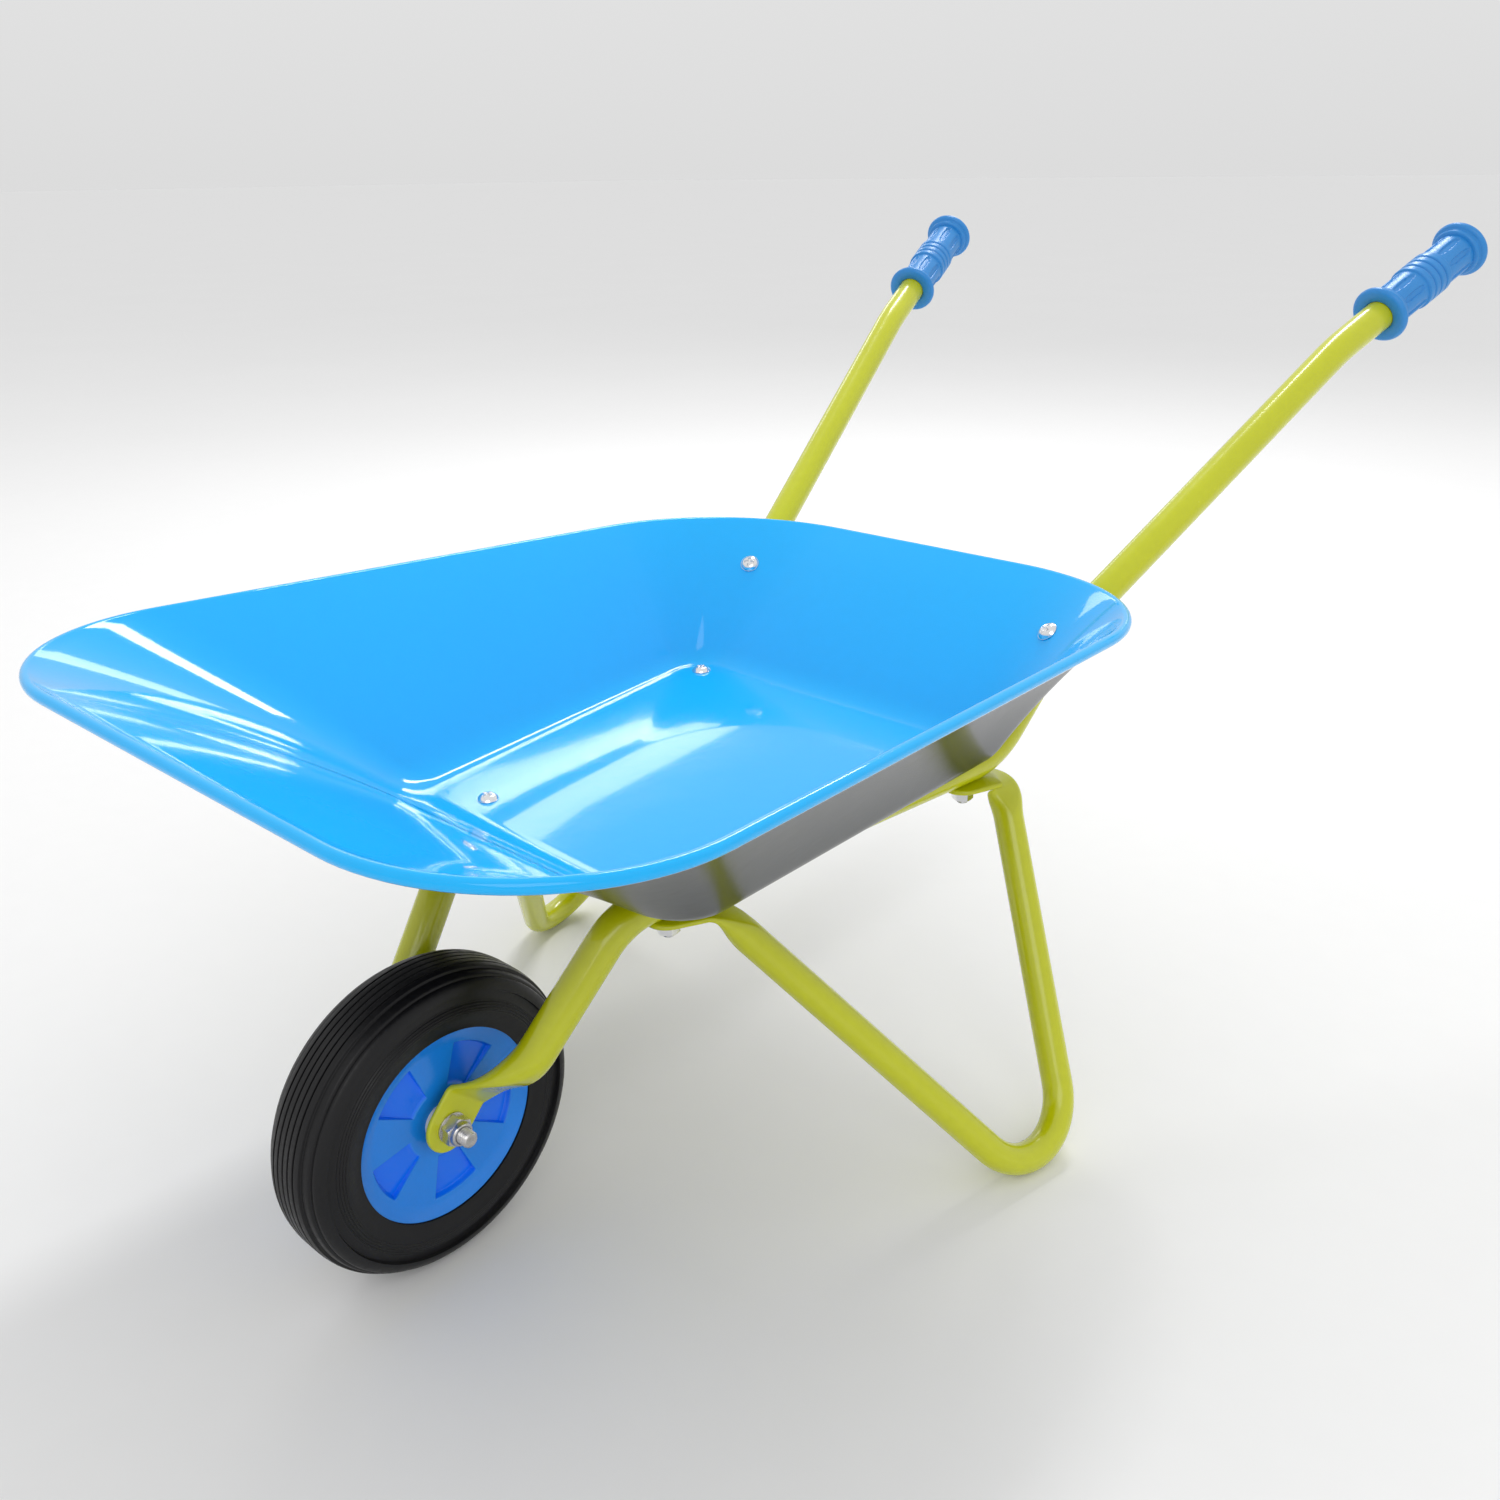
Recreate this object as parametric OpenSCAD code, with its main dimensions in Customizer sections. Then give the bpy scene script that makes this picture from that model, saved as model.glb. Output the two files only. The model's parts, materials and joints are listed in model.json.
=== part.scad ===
// Child's steel wheelbarrow: pressed tray on two bent tubes, V legs, one wheel.
// X is across the barrow, +Y runs back to the handles, +Z is up, the ground is z = 0.
// Lengths along Y are written from the wheel axle; the whole barrow is then centred.

/* [Wheel] */
// Outside diameter of the tyre
wheel_d = 152; // [140:1:170]
// Width of the tyre
tyre_w = 38; // [36:1:44]
// Diameter of the hub where it shows inside the tyre
rim_d = 96.6; // [88:0.2:104]
// Width of the hub across its outer lips
rim_w = 33.4; // [31:0.2:35]
// Depth of the tyre seat below the hub lips
seat_depth = 4.5; // [3:0.5:6]
// Number of tread grooves round the tyre
tread_grooves = 6; // [4:1:8]
// Length of the hub's central boss
boss_l = 23; // [20:0.5:24]
// Outside diameter of the boss
boss_d = 27; // [24:0.5:30]
// Number of wedge pockets in each face of the hub
pockets = 5; // [4:1:6]
// Width of one wedge pocket, degrees
pocket_angle = 35; // [28:1:40]
// Depth of the wedge pockets at their outer end
pocket_depth = 2.8; // [2:0.2:3.6]
// Angle from the bottom of the wheel to the middle of the nearest pocket, degrees
pocket_turn = 5; // [-30:1:30]

/* [Axle] */
// Diameter of the axle
axle_d = 8; // [7:0.5:9]
// Length of the axle from end to end
axle_l = 66; // [62:1:72]
// Radial running gap between axle and bushes
running_gap = 0.06; // [0.03:0.01:0.1]
// Outside diameter of the bushes pressed into the hub
bush_d = 13; // [12:0.5:14]
// Length of each bush inside the hub
bush_l = 9; // [7:0.5:10]
// Thickness of the bush flange
bush_flange = 1.5; // [1:0.1:1.8]
// Outside diameter of the spacers between bush and ear
spacer_d = 15; // [13:0.5:17]
// Radial clearance of the ears, spacers and washers on the axle
axle_play = 0.1; // [0.05:0.05:0.3]
// Side play of the wheel at each flange
side_play = 0.3; // [0.2:0.05:0.4]
// Width across the flats of the axle nuts
axle_nut_w = 13; // [12:0.5:14]
// Height of the axle nuts with their locking collar
axle_nut_h = 8; // [7:0.5:9]
// Outside diameter of the axle washers
axle_washer_d = 15; // [14:0.5:17]
// Thickness of the axle washers
axle_washer_t = 1; // [0.8:0.1:1.4]

/* [Tray] */
// Distance from the axle back to the front edge of the floor
floor_front = 68.4; // [60:0.2:76]
// Distance from the axle back to the rear edge of the floor
floor_rear = 309; // [300:1:318]
// Half width of the floor at its front edge
floor_half_front = 104; // [96:1:112]
// Half width of the floor at its rear edge
floor_half_rear = 113; // [108:1:120]
// Height of the floor at its front edge
floor_h_front = 181; // [176:1:190]
// Height of the floor at its rear edge
floor_h_rear = 192.8; // [188:0.2:200]
// Radius of the floor corners in plan
floor_corner = 22; // [18:1:30]
// Distance that the rim reaches ahead of the axle
rim_front = 95; // [86:0.2:104]
// Distance that the rim reaches behind the floor's rear edge
rim_back = 79.2; // [72:0.2:86]
// Half width of the rim at the front, taken to its sharp corner
rim_half_front = 193; // [185:1:205]
// Half width of the rim at the rear, taken to its sharp corner
rim_half_rear = 161.6; // [155:0.2:172]
// Height of the rim at the front
rim_h_front = 284.6; // [274:0.2:294]
// Height of the rim at the rear
rim_h_rear = 268.4; // [262:0.2:278]
// Corner radius of the rim at the front
rim_corner_front = 87; // [76:1:96]
// Corner radius of the rim at the rear
rim_corner_rear = 103; // [96:1:112]
// Thickness of the pressed sheet
sheet = 1; // [0.8:0.1:1.4]
// Diameter of the wired bead round the rim
bead_d = 5.6; // [5.2:0.2:6.4]
// Share of its mean slope at which a wall leaves the floor
wall_start = 1.25; // [1.1:0.05:1.35]
// Share of the wall run that is taken up by the fillet at the floor
floor_fillet = 0.095; // [0.07:0.005:0.12]

/* [Main tubes] */
// Outside diameter of the main tubes
tube_d = 18; // [17:0.5:19]
// Wall thickness of the main tubes
tube_wall = 1.2; // [1:0.1:1.6]
// Gap left under the tray sheet
tube_gap = 0.4; // [0.2:0.05:0.5]
// Distance from the centre line out to the front floor bolts
bolt_front_x = 63; // [58:1:68]
// Distance from the axle back to the front floor bolts
bolt_front_y = 97; // [94:1:104]
// Distance from the centre line out to the rear floor bolts
bolt_rear_x = 95; // [90:0.5:100]
// Distance from the rear floor bolts back to the floor's rear edge
bolt_rear_edge = 15; // [13:0.5:22]
// Distance from the centre line out to the rear wall bolts
bolt_wall_x = 106; // [100:1:110]
// Share of the rear wall run at which the wall bolts sit
bolt_wall_u = 0.645; // [0.6:0.005:0.68]
// Slope of the tube below the wall bolt, degrees
rise_angle = 53; // [51:0.5:56]
// Bend radius where the tube leaves the floor at the front
bend_front = 35; // [30:1:40]
// Bend radius where the tube leaves the floor at the rear
bend_rear = 38; // [32:1:42]
// Bend radius at the wall bolt
bend_wall = 90; // [70:1:110]
// Angle that the tube turns at the wall bolt, degrees
wall_turn = 18.5; // [14:0.5:24]
// Distance that the tube runs on ahead of the front floor bolt before it turns down
nose = 25.5; // [23:0.5:30]

/* [Fork ears] */
// Tilt of the ears, degrees above level
ear_tilt = 47.8; // [44:0.2:52]
// Length of an ear from the axle to its fold
ear_l = 15.4; // [14.5:0.1:18]
// Width of an ear
ear_w = 26; // [24:0.5:28]
// Thickness of an ear, which is the tube pressed flat
ear_t = 2.8; // [2.6:0.1:3.2]
// Distance from the wheel's middle plane to the outer face of an ear
ear_out = 18.4; // [17.8:0.1:19.4]
// Angle at which the flattened tube leaves the ear, degrees
fold_angle = 46.5; // [40:0.5:52]
// Distance from the axle up to where the tube is round again
flat_l = 50; // [44:1:56]
// Distance from the middle plane to the tube where it is round again
fork_x = 48; // [42:1:52]
// Distance that the round tube stands ahead of the ear's centre line
fork_set = 5.7; // [3:0.1:8]

/* [Handles] */
// Distance from the centre line out to the bend below each grip
crook_x = 158.3; // [146:0.1:170]
// Distance from the rear of the rim back to the bend below each grip
crook_back = 183.8; // [168:0.2:200]
// Height of the bend below each grip
crook_h = 377.5; // [366:0.5:390]
// Bend radius below each grip
bend_crook = 150; // [100:5:200]
// Distance from the centre line out to the handle ends
handle_x = 184.7; // [170:0.1:195]
// Distance from that bend back to the handle ends
handle_back = 111.5; // [100:0.5:124]
// Height of the handle ends
handle_h = 430.3; // [415:0.1:445]
// Length of a grip from end to end
grip_l = 86; // [76:1:96]
// Diameter of the grip barrel
grip_d = 24.4; // [23.4:0.2:28]
// Diameter of the grip flanges
grip_flange_d = 34; // [31:0.5:40]
// Thickness of a grip flange
grip_flange_t = 5; // [4:0.2:6]
// Thickness of the closed end of a grip
grip_end = 4; // [3:0.5:6]
// Radial gap between grip and tube
grip_gap = 0.02; // [0.01:0.01:0.05]

/* [Legs] */
// Outside diameter of the leg tubes
leg_d = 16; // [15:0.5:17]
// Distance from the centre line out to the foot of a leg
foot_x = 184.5; // [176:0.5:192]
// Distance from the foot of a leg back to the rear floor bolt
foot_ahead = 54; // [44:1:64]
// Bend radius at the foot
foot_bend = 32.4; // [28:0.4:38]
// Thickness of the flattened leg ends
tab_t = 3; // [2.6:0.1:3.4]
// Width of the flattened leg ends
tab_w = 22; // [20:0.5:24]
// Sideways reach of the front leg end from its bolt to its strand
tab_front_x = 11; // [8:0.5:16]
// Backward reach of the front leg end from its bolt to its strand
tab_front_y = 20; // [18:0.5:26]
// Sideways reach of the rear leg end from its bolt to its strand
tab_rear_x = 9.5; // [6:0.5:14]
// Backward reach of the rear leg end from its bolt to its strand
tab_rear_y = 23; // [18:0.5:27]
// Length over which a leg end is flattened
leg_flat_l = 24; // [20:1:34]

/* [Fasteners] */
// Diameter of the tray bolts
bolt_d = 6; // [5:0.5:7]
// Diameter of the bolt heads
head_d = 11.4; // [10:0.2:12.4]
// Height of the bolt heads
head_h = 3; // [2.4:0.2:3.6]
// Clearance of the bolt holes on diameter
hole_play = 0.6; // [0.4:0.1:1]
// Width across the flats of the tray nuts
nut_w = 10; // [9:0.5:11]
// Height of the tray nuts
nut_h = 5; // [4:0.5:6]
// Outside diameter of the tray washers
washer_d = 13; // [12:0.5:15]
// Thickness of the tray washers
washer_t = 1.2; // [1:0.1:1.6]
// Thread showing past each nut
thread_out = 2.5; // [1.5:0.5:4]

/* [Hidden] */
$fn = 64;

blue = [0.04, 0.60, 0.95];
hub_blue = [0.02, 0.40, 0.92];
lime = [0.68, 0.78, 0.08];
black = [0.06, 0.06, 0.065];
zinc = [0.78, 0.79, 0.80];
nylon = [0.90, 0.90, 0.86];

wheel_r = wheel_d / 2;
tube_r = tube_d / 2;
leg_r = leg_d / 2;
bead_r = bead_d / 2;
axle_r = axle_d / 2;
hole_r = (bolt_d + hole_play) / 2;

// Places behind the axle that follow the tray
rim_rear = floor_rear + rim_back;
bolt_rear_y = floor_rear - bolt_rear_edge;
crook_y = rim_rear + crook_back;
handle_y = crook_y + handle_back;
foot_y = bolt_rear_y - foot_ahead;

function unit(v) = v / norm(v);
function mix(a, b, t) = a + (b - a) * t;
function smooth(t) = t * t * (3 - 2 * t);

// ---- the tray's surface: u runs from 0 at the floor's edge to 1 at the rim ----

function wall_h(u) =
    (u < floor_fillet ? wall_start * (u + floor_fillet) ^ 2 / (4 * floor_fillet) : wall_start * u)
    - (wall_start - 1) * max(u, 0) ^ 2;
function front_y(u) = mix(floor_front, -rim_front, u);
function rear_y(u) = mix(floor_rear, rim_rear, u);
function half_front(u) = mix(floor_half_front, rim_half_front, u);
function half_rear(u) = mix(floor_half_rear, rim_half_rear, u);
function corner_front(u) = mix(floor_corner, rim_corner_front, u);
function corner_rear(u) = mix(floor_corner, rim_corner_rear, u);
function floor_z(y) = floor_h_front
    + (y - floor_front) * (floor_h_rear - floor_h_front) / (floor_rear - floor_front);

// Height on the level u at the distance y: a share of the way from floor edge to rim
function level_z(u, y) =
    let (f = (y - front_y(u)) / (rear_y(u) - front_y(u)),
         low = mix(floor_z(front_y(min(u, 0))), floor_z(rear_y(min(u, 0))), f),
         high = mix(rim_h_front, rim_h_rear, f))
    mix(low, high, wall_h(u));

// Points round one corner of an outline, from the side that meets a to the side that meets b
function corner_arc(p, a, b, r, n) =
    let (da = unit(a - p), db = unit(b - p), half = acos(da * db) / 2,
         c = p + unit(da + db) * r / sin(half), start = c - p - da * ((c - p) * da),
         first = atan2(-start.y, -start.x), sweep = 180 - 2 * half)
    [for (i = [0:n]) c + r * [cos(first + sweep * i / n), sin(first + sweep * i / n)]];

// Outline of the level u, grown outwards by g, counter-clockwise from above
function outline(u, g, n) =
    let (f = front_y(u) - g, r = rear_y(u) + g, hf = half_front(u) + g, hr = half_rear(u) + g,
         p = [[-hf, f], [hf, f], [hr, r], [-hr, r]],
         rf = corner_front(u) + g, rr = corner_rear(u) + g)
    [for (k = [0:3]) each corner_arc(p[k], p[(k + 3) % 4], p[(k + 1) % 4], k < 2 ? rf : rr, n)];

// One ring of the sheet: level u, grown outwards by g and lowered by drop
function ring(u, g, drop, n) =
    [for (p = outline(u, g, n)) [p.x, p.y, level_z(u, p.y) - drop]];

// Mean slope of the walls at the level u, degrees
wall_run = (half_front(1) + half_rear(1) - half_front(0) - half_rear(0)) / 2;
wall_rise = (rim_h_front + rim_h_rear - floor_h_front - floor_h_rear) / 2;
function slope(u) = atan((wall_h(u + 0.001) - wall_h(u - 0.001)) / 0.002 * wall_rise / wall_run);

levels = concat(
    [for (i = [0:6]) floor_fillet * (i / 3 - 1)],
    [for (i = [1:7]) mix(floor_fillet, 1, i / 7)]);
bead_steps = 10;
arc_steps = 12;
tray_rings = concat(
    [for (u = levels) ring(u, 0, 0, arc_steps)],
    [for (i = [1:bead_steps - 1])
        let (a = 90 + slope(1) - i * 270 / bead_steps)
        ring(1, bead_r * (cos(a) + sin(slope(1))), -bead_r * (sin(a) - cos(slope(1))), arc_steps)],
    [for (k = [len(levels) - 1:-1:0])
        let (s = slope(levels[k])) ring(levels[k], sheet * sin(s), sheet * cos(s), arc_steps)]);

// Point on the inside of the rear wall at the distance x from the centre line
function wall_point(x, u) =
    let (hr = half_rear(u), r = corner_rear(u), d = [half_front(u) - hr, front_y(u) - rear_y(u)],
         half = acos(unit(d) * [-1, 0]) / 2, cx = hr - r / tan(half), cy = rear_y(u) - r,
         y = x > cx ? cy + sqrt(r ^ 2 - (x - cx) ^ 2) : rear_y(u))
    [x, y, level_z(u, y)];
function wall_normal(x, u) = unit(cross(
    wall_point(x + 0.5, u) - wall_point(x - 0.5, u),
    wall_point(x, u + 0.01) - wall_point(x, u - 0.01)));

// ---- places that the tubes, legs and bolts share, on the left-hand side ----

floor_tilt = atan((floor_h_rear - floor_h_front) / (floor_rear - floor_front));
floor_up = [0, -sin(floor_tilt), cos(floor_tilt)];
wall_up = wall_normal(bolt_wall_x, bolt_wall_u);
// The wall is hollow round the corner, so the bolt's head stands on its own edge there
wall_dish = head_d ^ 2 / (8 * corner_rear(bolt_wall_u));
wall_seat = wall_point(bolt_wall_x, bolt_wall_u) + wall_up * wall_dish;
front_seat = [bolt_front_x, bolt_front_y, floor_z(bolt_front_y)];
rear_seat = [bolt_rear_x, bolt_rear_y, floor_z(bolt_rear_y)];

under = sheet + tube_gap + tube_r;
floor_run = unit(rear_seat - front_seat);
handle_end = [handle_x, handle_y, handle_h];
// The tube's straights meet outside its bend, nearer the wall than the bend's middle
wall_mid = wall_seat - wall_up * (under - bend_wall * (1 / cos(wall_turn / 2) - 1));
crook = [crook_x, crook_y, crook_h];
handle_dir = unit(handle_end - crook);

// The tube drops from the wall bolt to the line under the floor
drop_h = wall_mid.z - (rear_seat.z - under);
drop_foot = rear_seat - floor_up * under
    + floor_run * (norm([wall_mid.x - rear_seat.x, wall_mid.y - rear_seat.y]) - drop_h / tan(rise_angle));
nose_point = front_seat - floor_up * under - floor_run * nose;

axle_mid = [0, 0, wheel_r];
ear_up = [0, cos(ear_tilt), sin(ear_tilt)];
ear_across = [0, sin(ear_tilt), -cos(ear_tilt)];
ear_x = ear_out - ear_t / 2;
fold_point = axle_mid + [ear_x, 0, 0] + ear_up * ear_l;
fold_dir = ear_up * cos(fold_angle) + [sin(fold_angle), 0, 0];
fork_end = axle_mid + [fork_x, 0, 0] + ear_up * flat_l - ear_across * fork_set;

tube_path = [fork_end, nose_point, drop_foot, wall_mid, crook, handle_end - handle_dir * grip_end];
tube_bends = [0, bend_front, bend_rear, bend_wall, bend_crook];
bend_steps = [0, 8, 8, 8, 3];

// The leg's foot: the lowest point of the bend rests on the ground, in the plane of the three points
tab_drop = under + tube_r + tab_t / 2;
tab_mid_front = front_seat - floor_up * tab_drop;
tab_mid_rear = rear_seat - floor_up * tab_drop;
function knee(mid, x, y) = mid + [x, y, y * tan(floor_tilt)];
knee_front = knee(tab_mid_front, tab_front_x, tab_front_y);
knee_rear = knee(tab_mid_rear, tab_rear_x, tab_rear_y);
foot = [foot_x, foot_y, leg_r];
leg_normal = unit(cross(knee_front - foot, knee_rear - foot));
leg_level = unit(cross(leg_normal, [0, 0, 1]));
leg_rise = cross(leg_level, leg_normal);
foot_mid = foot + leg_rise * foot_bend;
function in_leg(p) = [(p - foot_mid) * leg_level, (p - foot_mid) * leg_rise];
// Angle round the bend at which the straight from the point q touches it
function touch(q, side) = atan2(q.y, q.x) + side * acos(foot_bend / norm(q));
function leg_angle(p) = let (q = in_leg(p)) touch(q, q.x > 0 ? -1 : 1);
a_front = leg_angle(knee_front);
a_rear = leg_angle(knee_rear);
// The two straights meet below the foot, on the bisector of the bend
function wrap(a) = a > 0 ? a - 360 : a;
leg_a0 = min(wrap(a_front), wrap(a_rear));
leg_a1 = max(wrap(a_front), wrap(a_rear));
leg_meet = foot_mid + (leg_level * cos((leg_a0 + leg_a1) / 2) + leg_rise * sin((leg_a0 + leg_a1) / 2))
    * foot_bend / cos((leg_a1 - leg_a0) / 2);
strand_front = unit(leg_meet - knee_front);
strand_rear = unit(leg_meet - knee_rear);

// Half the length past the middle, so that the barrow is centred on the origin
back_end = handle_end.y + grip_flange_t / 2 * (1 - handle_dir.y)
    + (grip_flange_d - grip_flange_t) / 2 * sqrt(1 - handle_dir.y ^ 2);
shift_y = (rim_front + bead_r * (1 + sin(slope(1))) - back_end) / 2;

// ---- building blocks ----

// Puts a shape drawn along +Z at the point p, pointing along d
module along(p, d) {
    translate(p) rotate([0, acos(d.z), atan2(d.y, d.x)]) children();
}

// Closed skin over a list of rings with the same number of points
module loft(rings) {
    n = len(rings[0]);
    m = len(rings) - 1;
    polyhedron([for (r = rings) each r], concat(
        [for (i = [0:m - 1], j = [0:n - 1])
            let (a = i * n + j, b = i * n + (j + 1) % n)
            each [[b + n, b, a], [a + n, b + n, a]]],
        [[for (j = [0:n - 1]) j], [for (j = [n - 1:-1:0]) m * n + j]]));
}

// A station of a tube is [point, direction, thickness, width]. Its section is a flattened round
// that is thin along thin_dir; a round one has its thickness and width equal.
function section(st, thin_dir, sides) =
    let (t = unit(st[1]), thin = unit(thin_dir - t * (thin_dir * t)), across = cross(t, thin),
         b = st[2] / 2, a = max(st[3] / 2 - b, 0))
    [for (j = [0:sides - 1])
        let (q = 360 * (j + 0.5) / sides)
        st[0] + across * (sign(cos(q)) * a + b * cos(q)) - thin * b * sin(q)];

function turn(p, i) = acos(unit(p[i] - p[i - 1]) * unit(p[i + 1] - p[i]));

// Stations round the bend of radius r at the corner i of the path p
function bend(p, i, r, d, steps) =
    let (angle = turn(p, i), d0 = unit(p[i] - p[i - 1]), d1 = unit(p[i + 1] - p[i]),
         inward = unit(d1 - d0 * (d0 * d1)), start = p[i] - d0 * r * tan(angle / 2))
    [for (k = [0:steps])
        let (a = angle * k / steps)
        [start + d0 * r * sin(a) + inward * r * (1 - cos(a)), d0 * cos(a) + inward * sin(a), d, d]];

// Stations of a tube of diameter d pressed gradually flat, from the point p0, where it is flat,
// to the point p1, where it is round. Its girth stays that of the round tube, up to the width w.
function flattening(p0, d0, p1, d1, t, w, d, steps) =
    let (reach = norm(p1 - p0))
    [for (k = [0:steps])
        let (q = k / steps, s = smooth(q),
             p = p0 * (1 - s) + p1 * s + d0 * reach * q * (1 - q) ^ 2 - d1 * reach * q ^ 2 * (1 - q),
             h = (p1 - p0) * 6 * q * (1 - q) + d0 * reach * (1 - q) * (1 - 3 * q)
                 + d1 * reach * q * (3 * q - 2),
             thick = mix(d, t, smooth(min(1, (1 - q) / 0.85))),
             girth = thick + PI * (d - thick) / 2)
        [p, h, thick, min(girth, w + (d - w) * s + 1.5 * q)]];

// Stations of a flat tongue from its round tip to the middle of that tip's arc
function tongue_tip(mid, dir, t, w) =
    [for (a = [78, 62, 46, 30, 15, 0]) [mid - dir * w / 2 * sin(a), dir, t, w * cos(a)]];

function reversed(v) = [for (i = [len(v) - 1:-1:0]) v[i]];
function flipped(v) = [for (st = v) [st[0], -st[1], st[2], st[3]]];

module bolt_hole(seat, up) {
    along(seat + up * 5, -up) cylinder(r = hole_r, h = under + tube_r + tab_t + 10);
}

module left_and_right(side) {
    if (side != "right") children();
    if (side != "left") mirror([1, 0, 0]) children();
}

module centred() {
    translate([0, shift_y, 0]) children();
}

// ---- tray ----

module tray() {
    color(blue) centred() difference() {
        loft(reversed(tray_rings));
        left_and_right("both") {
            bolt_hole(front_seat, floor_up);
            bolt_hole(rear_seat, floor_up);
            bolt_hole(wall_seat, wall_up);
        }
    }
}

// ---- main tubes: a pressed-flat ear at the axle, the fork, the run under the tray, the handle ----

module main_tube(side) {
    fork_dir = unit(nose_point - fork_end);
    run = concat(
        [[fork_end + fork_dir, fork_dir, tube_d, tube_d]],
        [for (i = [1:4]) each bend(tube_path, i, tube_bends[i], tube_d, bend_steps[i])],
        [[tube_path[5], handle_dir, tube_d, tube_d]]);
    outside = concat(
        tongue_tip(axle_mid + [ear_x, 0, 0], ear_up, ear_t, ear_w),
        [[fold_point, ear_up + fold_dir, ear_t / cos(fold_angle / 2), ear_w]],
        [for (k = [1:12]) flattening(fold_point, fold_dir, fork_end, fork_dir,
            ear_t, ear_w, tube_d, 12)[k]],
        run);
    inside = [for (st = reversed(run)) [st[0], st[1], tube_d - 2 * tube_wall, tube_d - 2 * tube_wall]];
    color(lime) centred() left_and_right(side) difference() {
        loft([for (st = concat(outside, inside)) section(st, [1, 0, 0], 24)]);
        bolt_hole(front_seat, floor_up);
        bolt_hole(rear_seat, floor_up);
        bolt_hole(wall_seat, wall_up);
        translate(axle_mid) rotate([0, 90, 0]) cylinder(r = axle_r + axle_play, h = 2 * ear_out);
    }
}

// ---- legs: one tube bent to a V, its ends pressed flat and bolted under the main tube ----

// Stations of one leg end, from its tip under the bolt to the round strand
function leg_end(knee, strand, seat) =
    let (dir = unit(knee - seat))
    concat(
        tongue_tip(seat, dir, tab_t, tab_w),
        [for (k = [0:9]) flattening(knee - dir * 7, dir, knee + strand * leg_flat_l, strand,
            tab_t, tab_w, leg_d, 9)[k]]);

module leg(side) {
    stations = concat(
        leg_end(knee_front, strand_front, tab_mid_front),
        bend([knee_front, leg_meet, knee_rear], 1, foot_bend, leg_d, 14),
        flipped(reversed(leg_end(knee_rear, strand_rear, tab_mid_rear))));
    color(lime) centred() left_and_right(side) difference() {
        loft([for (st = stations) section(st, floor_up, 20)]);
        bolt_hole(front_seat, floor_up);
        bolt_hole(rear_seat, floor_up);
    }
}

// ---- grips ----

module grip(side) {
    barrel = grip_d / 2;
    flange = grip_flange_d / 2;
    collar = mix(barrel, flange, 0.45);
    ring_pitch = 5.6;
    ring_w = 3.2;
    ring_rise = 1.2;
    color(blue) centred() left_and_right(side) along(handle_end - handle_dir * grip_l, handle_dir)
        rotate_extrude() difference() {
            union() {
                square([barrel, grip_l]);
                for (at = [0, grip_l - grip_flange_t]) {
                    translate([0, at]) square([flange - grip_flange_t / 2, grip_flange_t]);
                    translate([flange - grip_flange_t / 2, at + grip_flange_t / 2]) circle(grip_flange_t / 2);
                }
                for (at = [grip_flange_t - 0.5, grip_l - grip_flange_t - 3])
                    translate([0, at]) square([collar, 3.5]);
                for (k = [-1.5:1:1.5])
                    translate([0, grip_l / 2 + k * ring_pitch - ring_w / 2]) square([barrel + ring_rise, ring_w]);
            }
            translate([-1, -1]) square([tube_r + grip_gap + 1, grip_l - grip_end + 1]);
            translate([-flange, -1]) square([flange, grip_l + 2]);
        }
}

// ---- wheel: the bodies are drawn along Z and laid across the barrow ----

module on_axle() {
    centred() translate(axle_mid) rotate([0, 90, 0]) children();
}

seat_r = rim_d / 2 - seat_depth;
lip_w = 3;
shoulder = 8;
sidewall = wheel_r - rim_d / 2;
// Width of the plain band left inside and outside the pockets
pocket_margin = 4;

module tyre() {
    half = tyre_w / 2;
    crown = wheel_r - 1.2;
    groove = 1.6;
    land = 2 * (half - shoulder) / tread_grooves;
    color(black) on_axle() rotate_extrude($fn = 128) difference() {
        union() {
            translate([seat_r, -rim_w / 2 + lip_w]) square([wheel_r - seat_r - shoulder, rim_w - 2 * lip_w]);
            translate([rim_d / 2, -half + shoulder]) square([sidewall, tyre_w - 2 * shoulder]);
            translate([rim_d / 2, -rim_w / 2]) square([shoulder, rim_w]);
            for (s = [-1, 1])
                translate([wheel_r - shoulder, s * (half - shoulder)]) circle(shoulder);
            translate([rim_d / 2 + 3, -half]) square([sidewall - shoulder - 3, tyre_w]);
        }
        for (k = [0:tread_grooves])
            translate([crown, (k - tread_grooves / 2) * land - groove / 2]) square([3, groove]);
    }
}

module wheel_hub() {
    inner = boss_d / 2 + pocket_margin;
    outer = seat_r - pocket_margin;
    dish = 3.4;
    color(hub_blue) on_axle() difference() {
        rotate_extrude($fn = 128) difference() {
            union() {
                translate([0, -boss_l / 2]) square([boss_d / 2, boss_l]);
                polygon([
                    [boss_d / 2 - 1, -boss_l / 2],
                    [outer, -rim_w / 2 + dish],
                    [rim_d / 2, -rim_w / 2],
                    [rim_d / 2, -rim_w / 2 + lip_w],
                    [seat_r, -rim_w / 2 + lip_w],
                    [seat_r, rim_w / 2 - lip_w],
                    [rim_d / 2, rim_w / 2 - lip_w],
                    [rim_d / 2, rim_w / 2],
                    [outer, rim_w / 2 - dish],
                    [boss_d / 2 - 1, boss_l / 2],
                ]);
            }
            translate([-1, -boss_l]) square([bush_d / 2 + 1, 2 * boss_l]);
        }
        for (s = [0, 1], k = [0:pockets - 1])
            mirror([0, 0, s]) rotate([0, 0, (k + s / 2) * 360 / pockets + pocket_turn - pocket_angle / 2])
                rotate_extrude(angle = pocket_angle)
                    polygon([
                        [inner, rim_w / 2],
                        [inner, boss_l / 2 - pocket_depth / 4],
                        [outer - 0.6, rim_w / 2 - dish - pocket_depth],
                        [outer, rim_w / 2],
                    ]);
    }
}

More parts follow.
